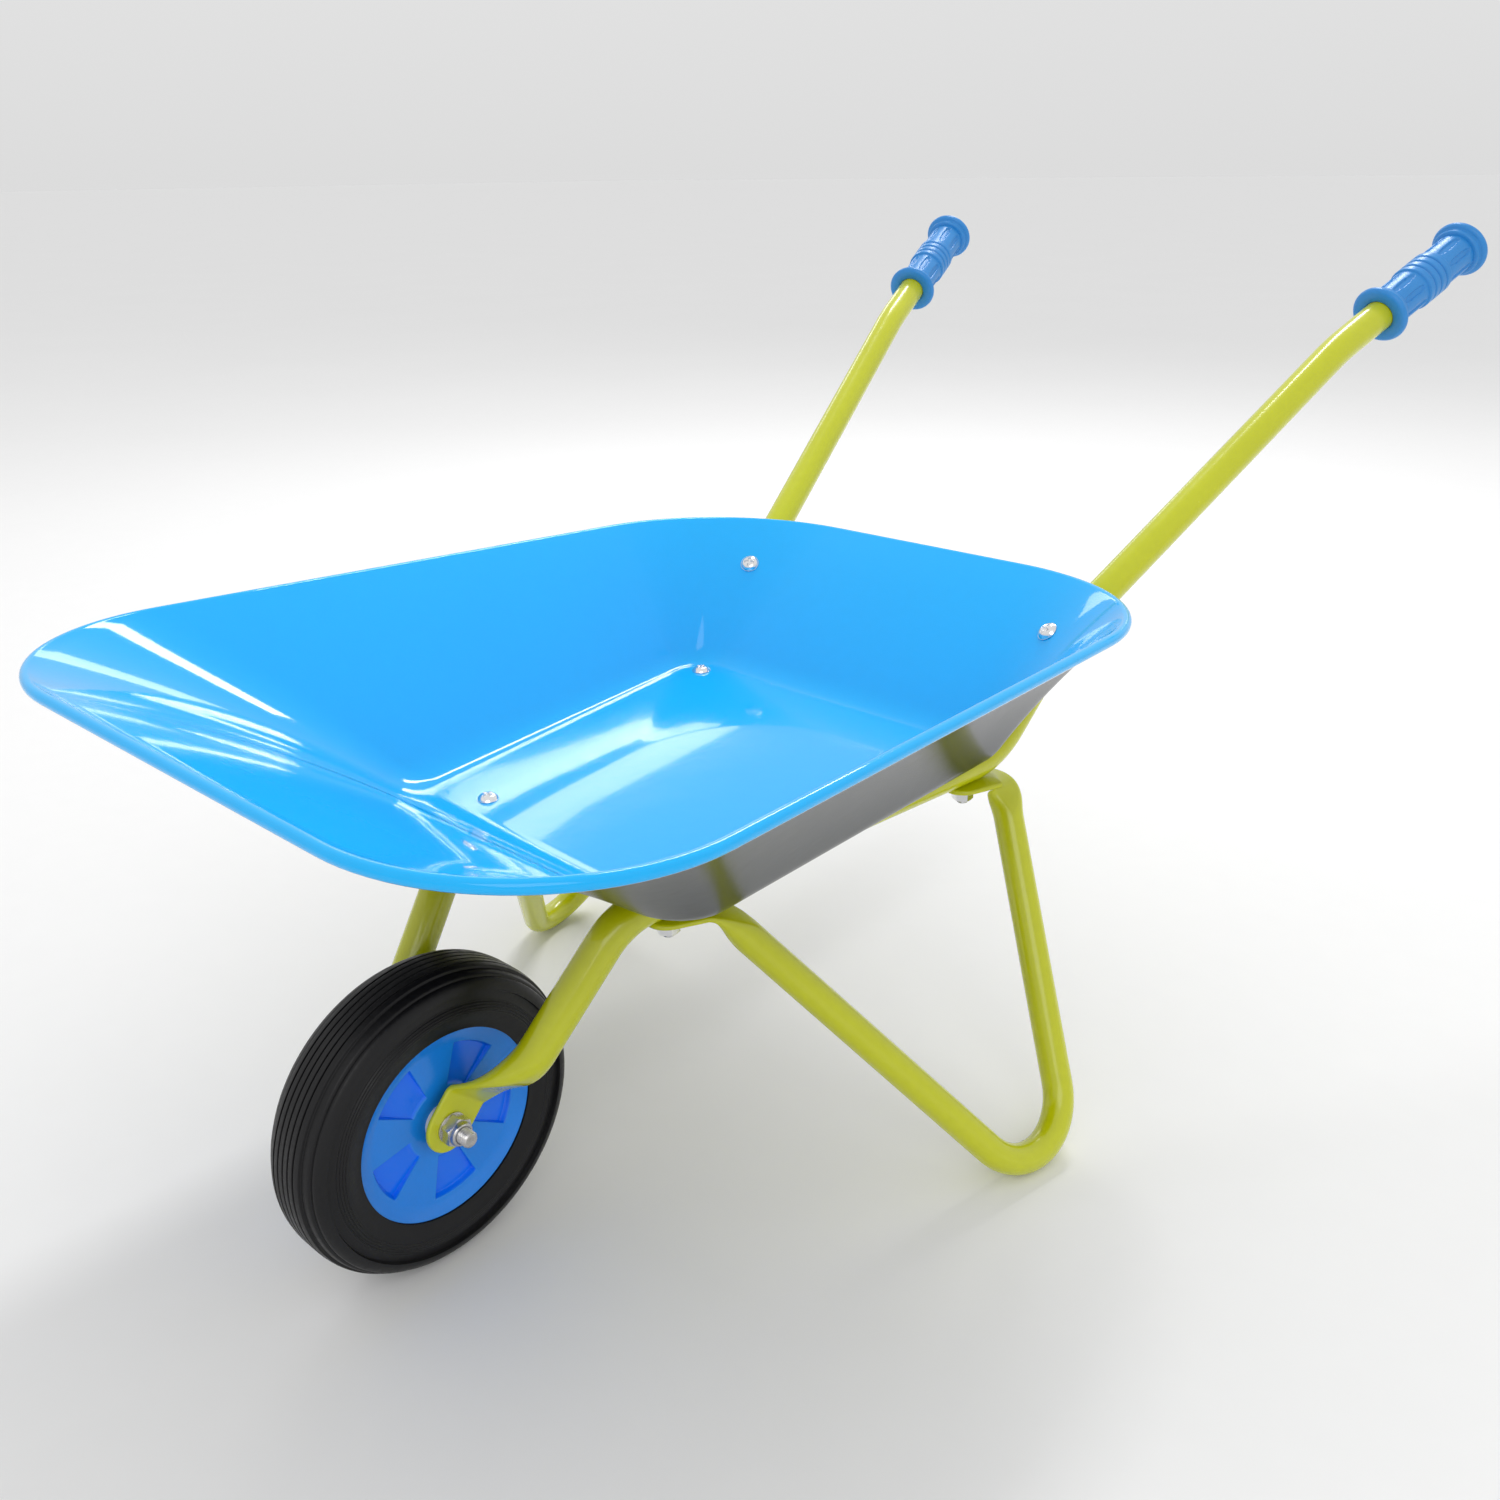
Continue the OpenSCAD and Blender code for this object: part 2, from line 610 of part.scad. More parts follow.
module hub_bush(side) {
    color(nylon) on_axle() mirror([0, 0, side == "left" ? 0 : 1]) translate([0, 0, boss_l / 2])
        difference() {
            union() {
                translate([0, 0, -bush_l]) cylinder(r = bush_d / 2, h = bush_l);
                cylinder(r = bush_d / 2 + 3, h = bush_flange);
            }
            translate([0, 0, -bush_l - 1]) cylinder(r = axle_r + running_gap, h = bush_l + bush_flange + 2);
        }
}

module axle() {
    chamfer = 0.8;
    color(zinc) on_axle() rotate_extrude() polygon([
        [0, -axle_l / 2],
        [axle_r - chamfer, -axle_l / 2],
        [axle_r, -axle_l / 2 + chamfer],
        [axle_r, axle_l / 2 - chamfer],
        [axle_r - chamfer, axle_l / 2],
        [0, axle_l / 2],
    ]);
}

// Flat ring on the axle from one distance to another, on one side
module axle_ring(side, from, to, r, gap) {
    on_axle() mirror([0, 0, side == "left" ? 0 : 1]) translate([0, 0, from]) difference() {
        cylinder(r = r, h = to - from);
        translate([0, 0, -1]) cylinder(r = axle_r + gap, h = to - from + 2);
    }
}

module axle_spacer(side) {
    color(zinc) axle_ring(side, boss_l / 2 + bush_flange + side_play, ear_out - ear_t, spacer_d / 2, axle_play);
}

module axle_washer(side) {
    color(zinc) axle_ring(side, ear_out, ear_out + axle_washer_t, axle_washer_d / 2, axle_play);
}

module axle_nut(side) {
    hex_h = axle_nut_h * 0.7;
    color(zinc) on_axle() mirror([0, 0, side == "left" ? 0 : 1])
        translate([0, 0, ear_out + axle_washer_t]) difference() {
            union() {
                cylinder(r = axle_nut_w / 2 / cos(30), h = hex_h, $fn = 6);
                cylinder(r = axle_nut_w / 2 - 0.7, h = axle_nut_h);
            }
            translate([0, 0, -1]) cylinder(r = axle_r, h = axle_nut_h + 2);
        }
}

// ---- tray bolts: cross-recess heads inside the tray, washers and nuts underneath ----

// Depth of the clamped stack below the seat of each bolt
floor_stack = under + tube_r + tab_t;
// The wall's tube leans against its bolt, so the washer stands off where its edge meets the tube
wall_lean = asin(abs(wall_up * unit(unit(crook - wall_mid) + unit(wall_mid - drop_foot))));
wall_stack = under + tube_r / cos(wall_lean) + washer_d / 2 * tan(wall_lean) + 2 * tube_gap;

module tray_bolt(seat, up, stack) {
    dome = (head_d ^ 2 / 4 + head_h ^ 2) / (2 * head_h);
    l = stack + washer_t + nut_h + thread_out;
    along(seat, up) difference() {
        union() {
            translate([0, 0, -l]) cylinder(r = bolt_d / 2, h = l + 0.5);
            intersection() {
                translate([0, 0, head_h - dome]) sphere(dome);
                cylinder(r = head_d / 2, h = head_h);
            }
        }
        for (a = [0, 90])
            rotate([0, 0, a]) translate([-head_d / 4, -0.7, head_h - 1.6]) cube([head_d / 2, 1.4, 3]);
    }
}

module tray_washer(seat, up, stack) {
    along(seat - up * (stack + washer_t), up) difference() {
        cylinder(r = washer_d / 2, h = washer_t);
        translate([0, 0, -1]) cylinder(r = hole_r, h = washer_t + 2);
    }
}

module tray_nut(seat, up, stack) {
    along(seat - up * (stack + washer_t + nut_h), up) difference() {
        cylinder(r = nut_w / 2 / cos(30), h = nut_h, $fn = 6);
        translate([0, 0, -1]) cylinder(r = bolt_d / 2, h = nut_h + 2);
    }
}

module pair() {
    color(zinc) centred() left_and_right("both") children();
}

tray();
main_tube("left");  // main_tube_left
main_tube("right");  // main_tube_right
leg("left");  // leg_left
leg("right");  // leg_right
grip("left");  // grip_left
grip("right");  // grip_right
tyre();
wheel_hub();
hub_bush("left");  // hub_bush_left
hub_bush("right");  // hub_bush_right
axle();
axle_spacer("left");  // axle_spacer_left
axle_spacer("right");  // axle_spacer_right
axle_washer("left");  // axle_washer_left
axle_washer("right");  // axle_washer_right
axle_nut("left");  // axle_nut_left
axle_nut("right");  // axle_nut_right
pair() tray_bolt(front_seat, floor_up, floor_stack);  // front_floor_bolts
pair() tray_washer(front_seat, floor_up, floor_stack);  // front_floor_washers
pair() tray_nut(front_seat, floor_up, floor_stack);  // front_floor_nuts
pair() tray_bolt(rear_seat, floor_up, floor_stack);  // rear_floor_bolts
pair() tray_washer(rear_seat, floor_up, floor_stack);  // rear_floor_washers
pair() tray_nut(rear_seat, floor_up, floor_stack);  // rear_floor_nuts
pair() tray_bolt(wall_seat, wall_up, wall_stack);  // wall_bolts
pair() tray_washer(wall_seat, wall_up, wall_stack);  // wall_washers
pair() tray_nut(wall_seat, wall_up, wall_stack);  // wall_nuts
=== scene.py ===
"""A child's steel wheelbarrow: its skins, finishes, floor, lights and camera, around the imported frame."""

import json

import bpy
import numpy as np
from mathutils import Matrix, Vector


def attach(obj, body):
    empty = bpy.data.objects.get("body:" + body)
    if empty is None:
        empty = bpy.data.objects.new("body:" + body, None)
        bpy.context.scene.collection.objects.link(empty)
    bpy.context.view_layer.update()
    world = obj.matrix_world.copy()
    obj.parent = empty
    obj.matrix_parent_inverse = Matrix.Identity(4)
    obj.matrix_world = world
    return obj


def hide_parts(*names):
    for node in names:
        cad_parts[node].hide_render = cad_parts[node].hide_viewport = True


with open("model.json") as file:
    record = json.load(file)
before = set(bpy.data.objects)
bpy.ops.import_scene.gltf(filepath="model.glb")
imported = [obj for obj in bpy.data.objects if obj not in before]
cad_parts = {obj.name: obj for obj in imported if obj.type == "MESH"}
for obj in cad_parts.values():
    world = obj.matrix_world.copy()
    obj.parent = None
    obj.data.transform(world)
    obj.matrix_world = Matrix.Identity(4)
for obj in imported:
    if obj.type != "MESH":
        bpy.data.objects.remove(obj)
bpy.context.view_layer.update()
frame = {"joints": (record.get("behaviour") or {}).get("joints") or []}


# ---- The tyre: one solid ring of moulded black rubber, stretched over the hub's seat. Its crown
# carries straight ribs, and each sidewall a band of fine moulded rings.

def skin(name, grids, close_rows=False, crease=35.0):
    """A mesh through one grid of points, rows by columns, or through several of the same size. Each row is a
    closed loop; the rows close on themselves too, or end in fans about the end rows' middle points."""
    grids = grids[None] if grids.ndim == 3 else grids
    shells, rows, cols, _ = grids.shape
    points = grids.reshape(shells, rows * cols, 3)
    i, j = np.meshgrid(np.arange(rows if close_rows else rows - 1), np.arange(cols), indexing="ij")
    i2, j2 = (i + 1) % rows, (j + 1) % cols
    quads = np.stack([i * cols + j, i2 * cols + j, i2 * cols + j2, i * cols + j2], -1).reshape(-1, 4)
    fans = np.zeros((0, 3), int)
    if not close_rows:
        points = np.concatenate([points, grids[:, 0].mean(1)[:, None], grids[:, -1].mean(1)[:, None]], 1)
        around, last = np.arange(cols), (rows - 1) * cols
        following, first_middle = (around + 1) % cols, np.full(cols, rows * cols)
        fans = np.vstack([np.stack([first_middle, around, following], -1),
                          np.stack([first_middle + 1, last + following, last + around], -1)])
    corners = np.vstack([quads[:, :3], quads[:, [0, 2, 3]], fans])
    a, b, c = (points[:, corners[:, k]] for k in range(3))
    inward = np.einsum("sij,sij->s", a, np.cross(b, c))[:, None, None] < 0
    offset = np.arange(shells)[:, None, None] * points.shape[1]
    quads = (np.where(inward, quads[:, ::-1], quads) + offset).reshape(-1, 4)
    fans = (np.where(inward, fans[:, ::-1], fans) + offset).reshape(-1, 3)
    mesh = bpy.data.meshes.new(name)
    mesh.vertices.add(points.shape[0] * points.shape[1])
    mesh.vertices.foreach_set("co", points.astype(np.float32).ravel())
    loops = np.concatenate([quads.ravel(), fans.ravel()])
    starts = np.concatenate([np.arange(len(quads)) * 4, len(quads) * 4 + np.arange(len(fans)) * 3])
    mesh.loops.add(len(loops))
    mesh.loops.foreach_set("vertex_index", loops.astype(np.int32))
    mesh.polygons.add(len(starts))
    mesh.polygons.foreach_set("loop_start", starts.astype(np.int32))
    mesh.polygons.foreach_set("use_smooth", np.ones(len(starts), bool))
    mesh.update(calc_edges=True)
    mesh.validate()
    mesh.set_sharp_from_angle(angle=np.radians(crease))
    piece = bpy.data.objects.new(name, mesh)
    bpy.context.scene.collection.objects.link(piece)
    return piece


wheel_axis = np.array(frame["joints"][0]["pos_m"])


def about_wheel_axis(x, r, turn):
    """Points at the distance x along the axle and r from it, turned by the angle from +Y towards +Z."""
    return wheel_axis + np.stack([x, r * np.cos(turn), r * np.sin(turn)], -1)


def step(t):
    """A smooth rise from 0 to 1: three times t squared less twice t cubed, held outside 0 to 1."""
    t = np.clip(t, 0.0, 1.0)
    return t * t * (3 - 2 * t)


def fit(piece, body, stands_for, material):
    """Gives a finished piece its material, ties it to its body, and hides the CAD nodes that it stands for.
    """
    piece.data.materials.append(material)
    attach(piece, body)
    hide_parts(*stands_for)


class Shade:
    """A material, or a group of shader nodes, written one node a line."""

    def __init__(self, tree):
        self.tree = tree

    def add(self, kind, **settings):
        """Adds a node. A setting is one of the node's own properties, or else a socket, which is named, or
        numbered as in0, in1 and so on, and is set or linked."""
        made = self.tree.nodes.new(kind)
        sockets = {}
        for name, value in settings.items():
            if hasattr(made, name):
                setattr(made, name, value)
            else:
                sockets[name.replace("_", " ")] = value
        for name, value in sockets.items():
            numbered = name[:2] == "in" and name[2:].isdigit()
            socket = made.inputs[int(name[2:])] if numbered else made.inputs[name]
            if isinstance(value, bpy.types.NodeSocket):
                self.tree.links.new(value, socket)
            else:
                socket.default_value = value
        return made

    def link(self, source, target):
        self.tree.links.new(source, target)


def new_material(name, **constants):
    """A material whose Principled shader has its constant values set straight on its sockets."""
    material = bpy.data.materials.new(name)
    material.use_nodes = True
    shade = Shade(material.node_tree)
    shader = material.node_tree.nodes["Principled BSDF"]
    for socket, value in constants.items():
        shader.inputs[socket.replace("_", " ")].default_value = value
    return material, shade, shader


def new_group(name, inputs, outputs):
    """An empty node group with float or colour sockets; returns its shade, input node and output node."""
    group = bpy.data.node_groups.new(name, "ShaderNodeTree")
    for label, kind, value in inputs:
        socket = group.interface.new_socket(label, in_out="INPUT", socket_type=kind)
        socket.default_value = value
    for label, kind in outputs:
        group.interface.new_socket(label, in_out="OUTPUT", socket_type=kind)
    shade = Shade(group)
    return group, shade, shade.add("NodeGroupInput"), shade.add("NodeGroupOutput")


# Colour drift: a base colour made a little lighter and darker by two sizes of soft noise
drift, shade, given, put = new_group(
    "colour_drift",
    [("Color", "NodeSocketColor", (0.5, 0.5, 0.5, 1)), ("Amount", "NodeSocketFloat", 0.1),
     ("Size", "NodeSocketFloat", 20.0), ("Roughness", "NodeSocketFloat", 0.3)],
    [("Color", "NodeSocketColor"), ("Roughness", "NodeSocketFloat"), ("Fine", "NodeSocketFloat")])
place = shade.add("ShaderNodeTexCoord")
broad = shade.add("ShaderNodeTexNoise", Vector=place.outputs["Object"], Scale=given.outputs["Size"],
                  Detail=3.0)
finer = shade.add("ShaderNodeMath", operation="MULTIPLY", in0=given.outputs["Size"], in1=14.0)
fine = shade.add("ShaderNodeTexNoise", Vector=place.outputs["Object"], Scale=finer.outputs[0], Detail=4.0)
both = shade.add("ShaderNodeMath", operation="ADD", in0=broad.outputs["Fac"], in1=fine.outputs["Fac"])
centred = shade.add("ShaderNodeMath", operation="SUBTRACT", in0=both.outputs[0], in1=1.0)
change = shade.add("ShaderNodeMath", operation="MULTIPLY", in0=centred.outputs[0],
                   in1=given.outputs["Amount"])
value = shade.add("ShaderNodeMath", operation="ADD", in0=change.outputs[0], in1=1.0)
tinted = shade.add("ShaderNodeHueSaturation", Color=given.outputs["Color"], Value=value.outputs[0])
rougher = shade.add("ShaderNodeMath", operation="MULTIPLY_ADD", in0=change.outputs[0], in1=0.6,
                    in2=given.outputs["Roughness"])
shade.link(tinted.outputs[0], put.inputs["Color"])
shade.link(rougher.outputs[0], put.inputs["Roughness"])
shade.link(fine.outputs["Fac"], put.inputs["Fine"])


def drifted(shade, shader, color, amount, size, roughness):
    """Places the colour drift group and feeds the shader's colour and roughness from it."""
    node = shade.add("ShaderNodeGroup", node_tree=drift)
    node.inputs["Color"].default_value = (*color, 1)
    node.inputs["Amount"].default_value = amount
    node.inputs["Size"].default_value = size
    node.inputs["Roughness"].default_value = roughness
    shade.link(node.outputs["Color"], shader.inputs["Base Color"])
    shade.link(node.outputs["Roughness"], shader.inputs["Roughness"])
    return node


def bumped(shade, shader, height, strength, distance):
    """Raises the shader's surface by a height, in metres at full strength."""
    bump = shade.add("ShaderNodeBump", Strength=strength, Distance=distance, Height=height)
    shade.link(bump.outputs["Normal"], shader.inputs["Normal"])


tyre_d, tyre_w, rim_d, rim_w = 0.152, 0.038, 0.0966, 0.0334
tyre_r, rim_r = tyre_d / 2, rim_d / 2
rib_count, rib_depth, shoulder_r = 6, 0.0012, 0.008
rib_land, rib_flank, crown_round = 0.68, 0.16, 0.0012
seat_r, lip_w, bead_gap = rim_r - 0.0045, 0.003, 0.0006
flank_hollow, flank_lap = 0.0018, 0.0004
groove_depth, groove_at, groove_width = 0.0009, 0.95, 0.09
moulded_depth, moulded_pitch, moulded_from, moulded_to, moulded_fade = 0.00022, 0.075, 0.45, 0.8, 0.05

# The section from bead to bead: sidewall, round shoulder, ribbed crown, and the same back again
across = np.linspace(-1, 1, 241)
crown_half = tyre_w / 2 - shoulder_r
flank = np.linspace(0, 1, 110)
bulge = flank_hollow * np.sin(np.pi * flank) ** 2 - flank_hollow
tread_x = across * crown_half
rib_phase = np.abs(((across + 1) / 2 * rib_count) % 1 - 0.5) * 2
tread_r = tyre_r - rib_depth * step((rib_phase - rib_land) / rib_flank) - crown_round * across ** 4
bend_a = np.linspace(0, np.pi / 2, 24)[1:-1]
edge_r = tread_r[0] - shoulder_r
shoulder_x = crown_half + shoulder_r * np.cos(bend_a)
shoulder_y = edge_r + shoulder_r * np.sin(bend_a)
shoulder_groove = groove_depth * np.exp(-((bend_a - groove_at) / groove_width) ** 2)
side_r = rim_r - flank_lap + flank * (edge_r - rim_r + flank_lap)
in_moulding = step((flank - moulded_from) / moulded_fade) * step((moulded_to - flank) / moulded_fade)
fine_rings = moulded_depth * np.sin(2 * np.pi * flank / moulded_pitch) * in_moulding
side_x = tyre_w / 2 + bulge + fine_rings
half_x = np.concatenate([side_x, shoulder_x - shoulder_groove * np.cos(bend_a)])
half_r = np.concatenate([side_r, shoulder_y - shoulder_groove * np.sin(bend_a)])
seat_x = np.array([rim_w / 2 - lip_w, rim_w / 2 - lip_w, rim_w / 2, rim_w / 2])
seat_y = np.array([seat_r, rim_r - bead_gap, rim_r - bead_gap, rim_r - bead_gap / 3])
section_x = np.concatenate([-half_x, tread_x, half_x[::-1], seat_x[::-1], -seat_x])
section_r = np.concatenate([half_r, tread_r, half_r[::-1], seat_y[::-1], seat_y])
turn = np.linspace(0, 2 * np.pi, 193)[:-1]
grid = about_wheel_axis(section_x[:, None] + 0 * turn, section_r[:, None] + 0 * turn, turn[None, :])
tyre = skin("tyre_rubber_ring", grid, close_rows=True, crease=50)

rubber, shade, shader = new_material("black_rubber", IOR=1.5, Specular_IOR_Level=0.3)
base = drifted(shade, shader, (0.006, 0.006, 0.007), 0.5, 30.0, 0.42)
bumped(shade, shader, base.outputs["Fine"], 0.25, 0.0004)
fit(tyre, "wheel", ["tyre"], rubber)


# ---- The hub: one blue plastic moulding. Each face has flat spokes that run out into the dished
# band, with sunk wedge pockets between them, and a thick lip that holds the tyre.

pocket_count, pocket_angle, pocket_depth = 5, np.radians(35), 0.0028
pocket_turn = np.radians(5)
boss_half, boss_r, hub_bore_r, dish, dish_bend = 0.0115, 0.0135, 0.0065, 0.0034, 1.35
pocket_inner, pocket_outer, pocket_ramp, lip_edge = boss_r + 0.004, seat_r - 0.004, 0.002, 0.001
pocket_wall = np.radians(1.0)

# Angles of one period, close together at the pocket's walls
period = 2 * np.pi / pocket_count
half_pocket = pocket_angle / 2
stops = [(-half_pocket - pocket_wall, -half_pocket + pocket_wall, 10),
         (-half_pocket + pocket_wall, half_pocket - pocket_wall, 18),
         (half_pocket - pocket_wall, half_pocket + pocket_wall, 10),
         (half_pocket + pocket_wall, period - half_pocket - pocket_wall, 20)]
one = np.concatenate([np.linspace(a, b, n, endpoint=False) for a, b, n in stops])
swing = (one[None, :] + period * np.arange(pocket_count)[:, None]).ravel()
inside_pocket = np.tile(step((half_pocket - np.abs(one)) / pocket_wall + 0.5), pocket_count)

# Radii of one face, close together at the pocket's ends, the band's foot and the lip
face_r = np.concatenate([
    np.linspace(hub_bore_r, boss_r, 6, endpoint=False),
    np.linspace(boss_r, pocket_inner, 6, endpoint=False),
    np.linspace(pocket_inner, pocket_inner + pocket_ramp, 8, endpoint=False),
    np.linspace(pocket_inner + pocket_ramp, pocket_outer - 0.0016, 16, endpoint=False),
    np.linspace(pocket_outer - 0.0016, pocket_outer + 0.0006, 14, endpoint=False),
    np.linspace(pocket_outer + 0.0006, rim_r - lip_edge, 12, endpoint=False),
    rim_r - lip_edge + lip_edge * np.sin(np.linspace(0, np.pi / 2, 8))])
band = np.clip((face_r - pocket_outer) / (rim_r - pocket_outer), 0, 1)
web = np.clip((face_r - boss_r) / (pocket_outer - boss_r), 0, 1)
past_lip = np.maximum(face_r - (rim_r - lip_edge), 0)
lip_round = lip_edge - np.sqrt(np.maximum(lip_edge ** 2 - past_lip ** 2, 0))
face_x = boss_half + web * (rim_w / 2 - dish - boss_half) + dish * band ** dish_bend - lip_round
along_pocket = np.clip((face_r - pocket_inner) / (pocket_outer - pocket_inner), 0, 1)
sink = (0.30 + 0.70 * along_pocket) * pocket_depth
sink = sink * step((face_r - pocket_inner) / pocket_ramp) * step((pocket_outer + 0.0004 - face_r) / 0.0018)


def hub_face(side, phase):
    """One face: its distance from the middle plane is the dished profile less the pocket's depth."""
    x = side * (face_x[:, None] - sink[:, None] * inside_pocket[None, :])
    return x, face_r[:, None] + 0 * x, swing[None, :] + phase + 0 * x


# Pockets are counted from the bottom of the wheel, and those of the two faces stand back to back
pocket_zero = -np.pi / 2 + pocket_turn
near = hub_face(1.0, pocket_zero)
far = hub_face(-1.0, pocket_zero)
rim_x = np.array([1, 1, -1, -1]) * (rim_w / 2 - lip_w)
rim_edge = np.array([rim_r, seat_r, seat_r, rim_r])
blank = np.zeros((4, len(swing)))
rim_part = (rim_x[:, None] + blank, rim_edge[:, None] + blank, swing[None, :] + pocket_zero + blank)
x, r, turn = (np.vstack([near[k], rim_part[k], far[k][::-1]]) for k in range(3))
hub = skin("hub_moulding", about_wheel_axis(x, r, turn), close_rows=True, crease=28)

# How far each point is sunk in a pocket, from 0 to 1: the pockets' floors get a deeper, more saturated blue,
# which is painted light and shade of the hollows, not a colour of the plastic
face_sunk = (sink[:, None] * inside_pocket[None, :]) / sink.max()
sunk = np.vstack([face_sunk, blank, face_sunk[::-1]]).astype(np.float32).ravel()
hub.data.attributes.new("sunk", "FLOAT", "POINT").data.foreach_set("value", sunk)

# Hub plastic: glossy, with the faint mottle of a moulded skin
hub_plastic, shade, shader = new_material("hub_blue_plastic", IOR=1.5)
base = drifted(shade, shader, (0.008, 0.225, 0.80), 0.10, 45.0, 0.2)
depth_of = shade.add("ShaderNodeAttribute", attribute_name="sunk")
in_pocket = shade.add("ShaderNodeMapRange", Value=depth_of.outputs["Fac"], From_Min=0.04, From_Max=0.3)
# Painted light: the pockets' floors are mixed to a second blue that stands in for how the light falls in
# them
pocket_painted_light = shade.add("ShaderNodeMix", data_type="RGBA")
shade.link(in_pocket.outputs["Result"], pocket_painted_light.inputs[0])
shade.link(base.outputs["Color"], pocket_painted_light.inputs[6])
pocket_painted_light.inputs[7].default_value = (0.0, 0.165, 0.94, 1)
shade.link(pocket_painted_light.outputs[2], shader.inputs["Base Color"])
bumped(shade, shader, base.outputs["Fine"], 0.06, 0.0003)
fit(hub, "wheel", ["wheel_hub"], hub_plastic)


# ---- The bushes: two flanged nylon bushes pressed into the hub, one from each side. The wheel
# turns on them; only the thin edges of their flanges can be glimpsed behind the ears.

nylon, shade, shader = new_material("white_nylon", IOR=1.53)
base = drifted(shade, shader, (0.78, 0.77, 0.70), 0.08, 60.0, 0.42)
bumped(shade, shader, base.outputs["Fine"], 0.1, 0.0002)
bush_l, bush_flange, bush_flange_r, bush_bore, bush_edge = 0.009, 0.0015, 0.0095, 0.00406, 0.0003
SIDES = {"left": 1.0, "right": -1.0}
for side, sign in SIDES.items():
    end = boss_half + bush_flange
    bush_x = np.array([boss_half - bush_l, boss_half - bush_l, boss_half, boss_half,
                       end - bush_edge, end, end, end - bush_edge])
    bush_y = np.array([bush_bore, hub_bore_r, hub_bore_r, bush_flange_r, bush_flange_r,
                       bush_flange_r - bush_edge, bush_bore + bush_edge, bush_bore])
    turn = np.linspace(0, 2 * np.pi, 65)[:-1]
    grid = about_wheel_axis(sign * bush_x[:, None] + 0 * turn, bush_y[:, None] + 0 * turn, turn[None, :])
    bush = skin(f"flanged_bush_{side}", grid, close_rows=True)
    fit(bush, "wheel", [f"hub_bush_{side}"], nylon)


# ---- The axle: a zinc-plated M8 steel bar, threaded at both ends. It is held still by the ears,
# and its bevelled ends stand out past the nuts.

# Metal skin: a bright plating, cloudy and duller in places, with a fine grain in its height
metal_skin, shade, given, put = new_group(
    "metal_skin",
    [("Color", "NodeSocketColor", (0.7, 0.7, 0.7, 1)), ("Roughness", "NodeSocketFloat", 0.3),
     ("Grime", "NodeSocketFloat", 0.3)],
    [("Color", "NodeSocketColor"), ("Roughness", "NodeSocketFloat"), ("Height", "NodeSocketFloat")])
place = shade.add("ShaderNodeTexCoord")
cloud = shade.add("ShaderNodeTexNoise", Vector=place.outputs["Object"], Scale=420.0, Detail=5.0)
spots = shade.add("ShaderNodeTexNoise", Vector=place.outputs["Object"], Scale=1600.0, Detail=2.0)
dark = shade.add("ShaderNodeMapRange", Value=cloud.outputs["Fac"], From_Min=0.42, From_Max=0.75)
amount = shade.add("ShaderNodeMath", operation="MULTIPLY", in0=dark.outputs["Result"],
                   in1=given.outputs["Grime"])
stained = shade.add("ShaderNodeMix", data_type="RGBA")
shade.link(amount.outputs[0], stained.inputs[0])
shade.link(given.outputs["Color"], stained.inputs[6])
stained.inputs[7].default_value = (0.16, 0.15, 0.14, 1)
dull = shade.add("ShaderNodeMath", operation="MULTIPLY_ADD", in0=cloud.outputs["Fac"], in1=0.24,
                 in2=given.outputs["Roughness"])
shade.link(stained.outputs[2], put.inputs["Color"])
shade.link(dull.outputs[0], put.inputs["Roughness"])
shade.link(spots.outputs["Fac"], put.inputs["Height"])


def plated_metal(name, color, roughness, grime, relief):
    """A bare or plated metal: the metal skin group on a fully metallic shader."""
    material, shade, shader = new_material(name, Metallic=1.0)
    node = shade.add("ShaderNodeGroup", node_tree=metal_skin)
    node.inputs["Color"].default_value = (*color, 1)
    node.inputs["Roughness"].default_value = roughness
    node.inputs["Grime"].default_value = grime
    shade.link(node.outputs["Color"], shader.inputs["Base Color"])
    shade.link(node.outputs["Roughness"], shader.inputs["Roughness"])
    bumped(shade, shader, node.outputs["Height"], relief, 0.0001)
    return material


zinc = plated_metal("zinc_plate", (0.62, 0.61, 0.60), 0.16, 0.35, 0.15)
chrome = plated_metal("bright_chrome", (0.82, 0.82, 0.83), 0.03, 0.10, 0.05)


def upright(direction):
    """Two directions across a given one, as the columns of a turn that takes +Z to it."""
    return np.array(Vector(direction).to_track_quat("Z", "Y").to_matrix())


def set_down(local, foot, direction):
    """Moves points drawn about +Z so that +Z points along the direction and the origin is at the foot."""
    return np.asarray(foot) + local @ upright(direction).T


def threaded_rod(r, start, end, pitch, bevel, plain_from, plain_to):
    """A rod along +Z. Its radius falls by a triangle wave of height less turn over a full circle, one wave
    a pitch, and follows a cone at each end. Between the two plain heights it has no thread."""
    turn = np.linspace(0, 2 * np.pi, 49)[:-1]
    height = np.linspace(start, end, max(int((end - start) / pitch * 8), 4))
    h, a = np.meshgrid(height, turn, indexing="ij")
    wave = np.abs(((h / pitch - a / (2 * np.pi)) % 1) - 0.5) * 2
    plain = step((h - plain_from) / pitch) * step((plain_to - h) / pitch)
    depth = thread_share * pitch * step(wave) * (1 - plain)
    cone = r - bevel + np.minimum(h - start, end - h)
    radius = np.minimum(r - depth, cone)
    grid = np.stack([radius * np.cos(a), radius * np.sin(a), h], -1)
    narrowed = np.array([0.9, 0.9, 1.0])
    return np.concatenate([grid[:1] * narrowed, grid, grid[-1:] * narrowed])


axle_r, axle_half, axle_pitch, axle_bevel, axle_plain_half = 0.004, 0.033, 0.00125, 0.0008, 0.016
thread_share = 0.52
rod = threaded_rod(axle_r, -axle_half, axle_half, axle_pitch, axle_bevel, -axle_plain_half, axle_plain_half)
axle = skin("axle_bar", set_down(rod, wheel_axis, (1, 0, 0)), crease=60)
fit(axle, "frame", ["axle"], zinc)


# ---- Spacers, washers and locknuts on the axle: a turned spacer between each bush and ear, then a
# thin washer and a hexagon locknut with a rolled collar outside each ear.

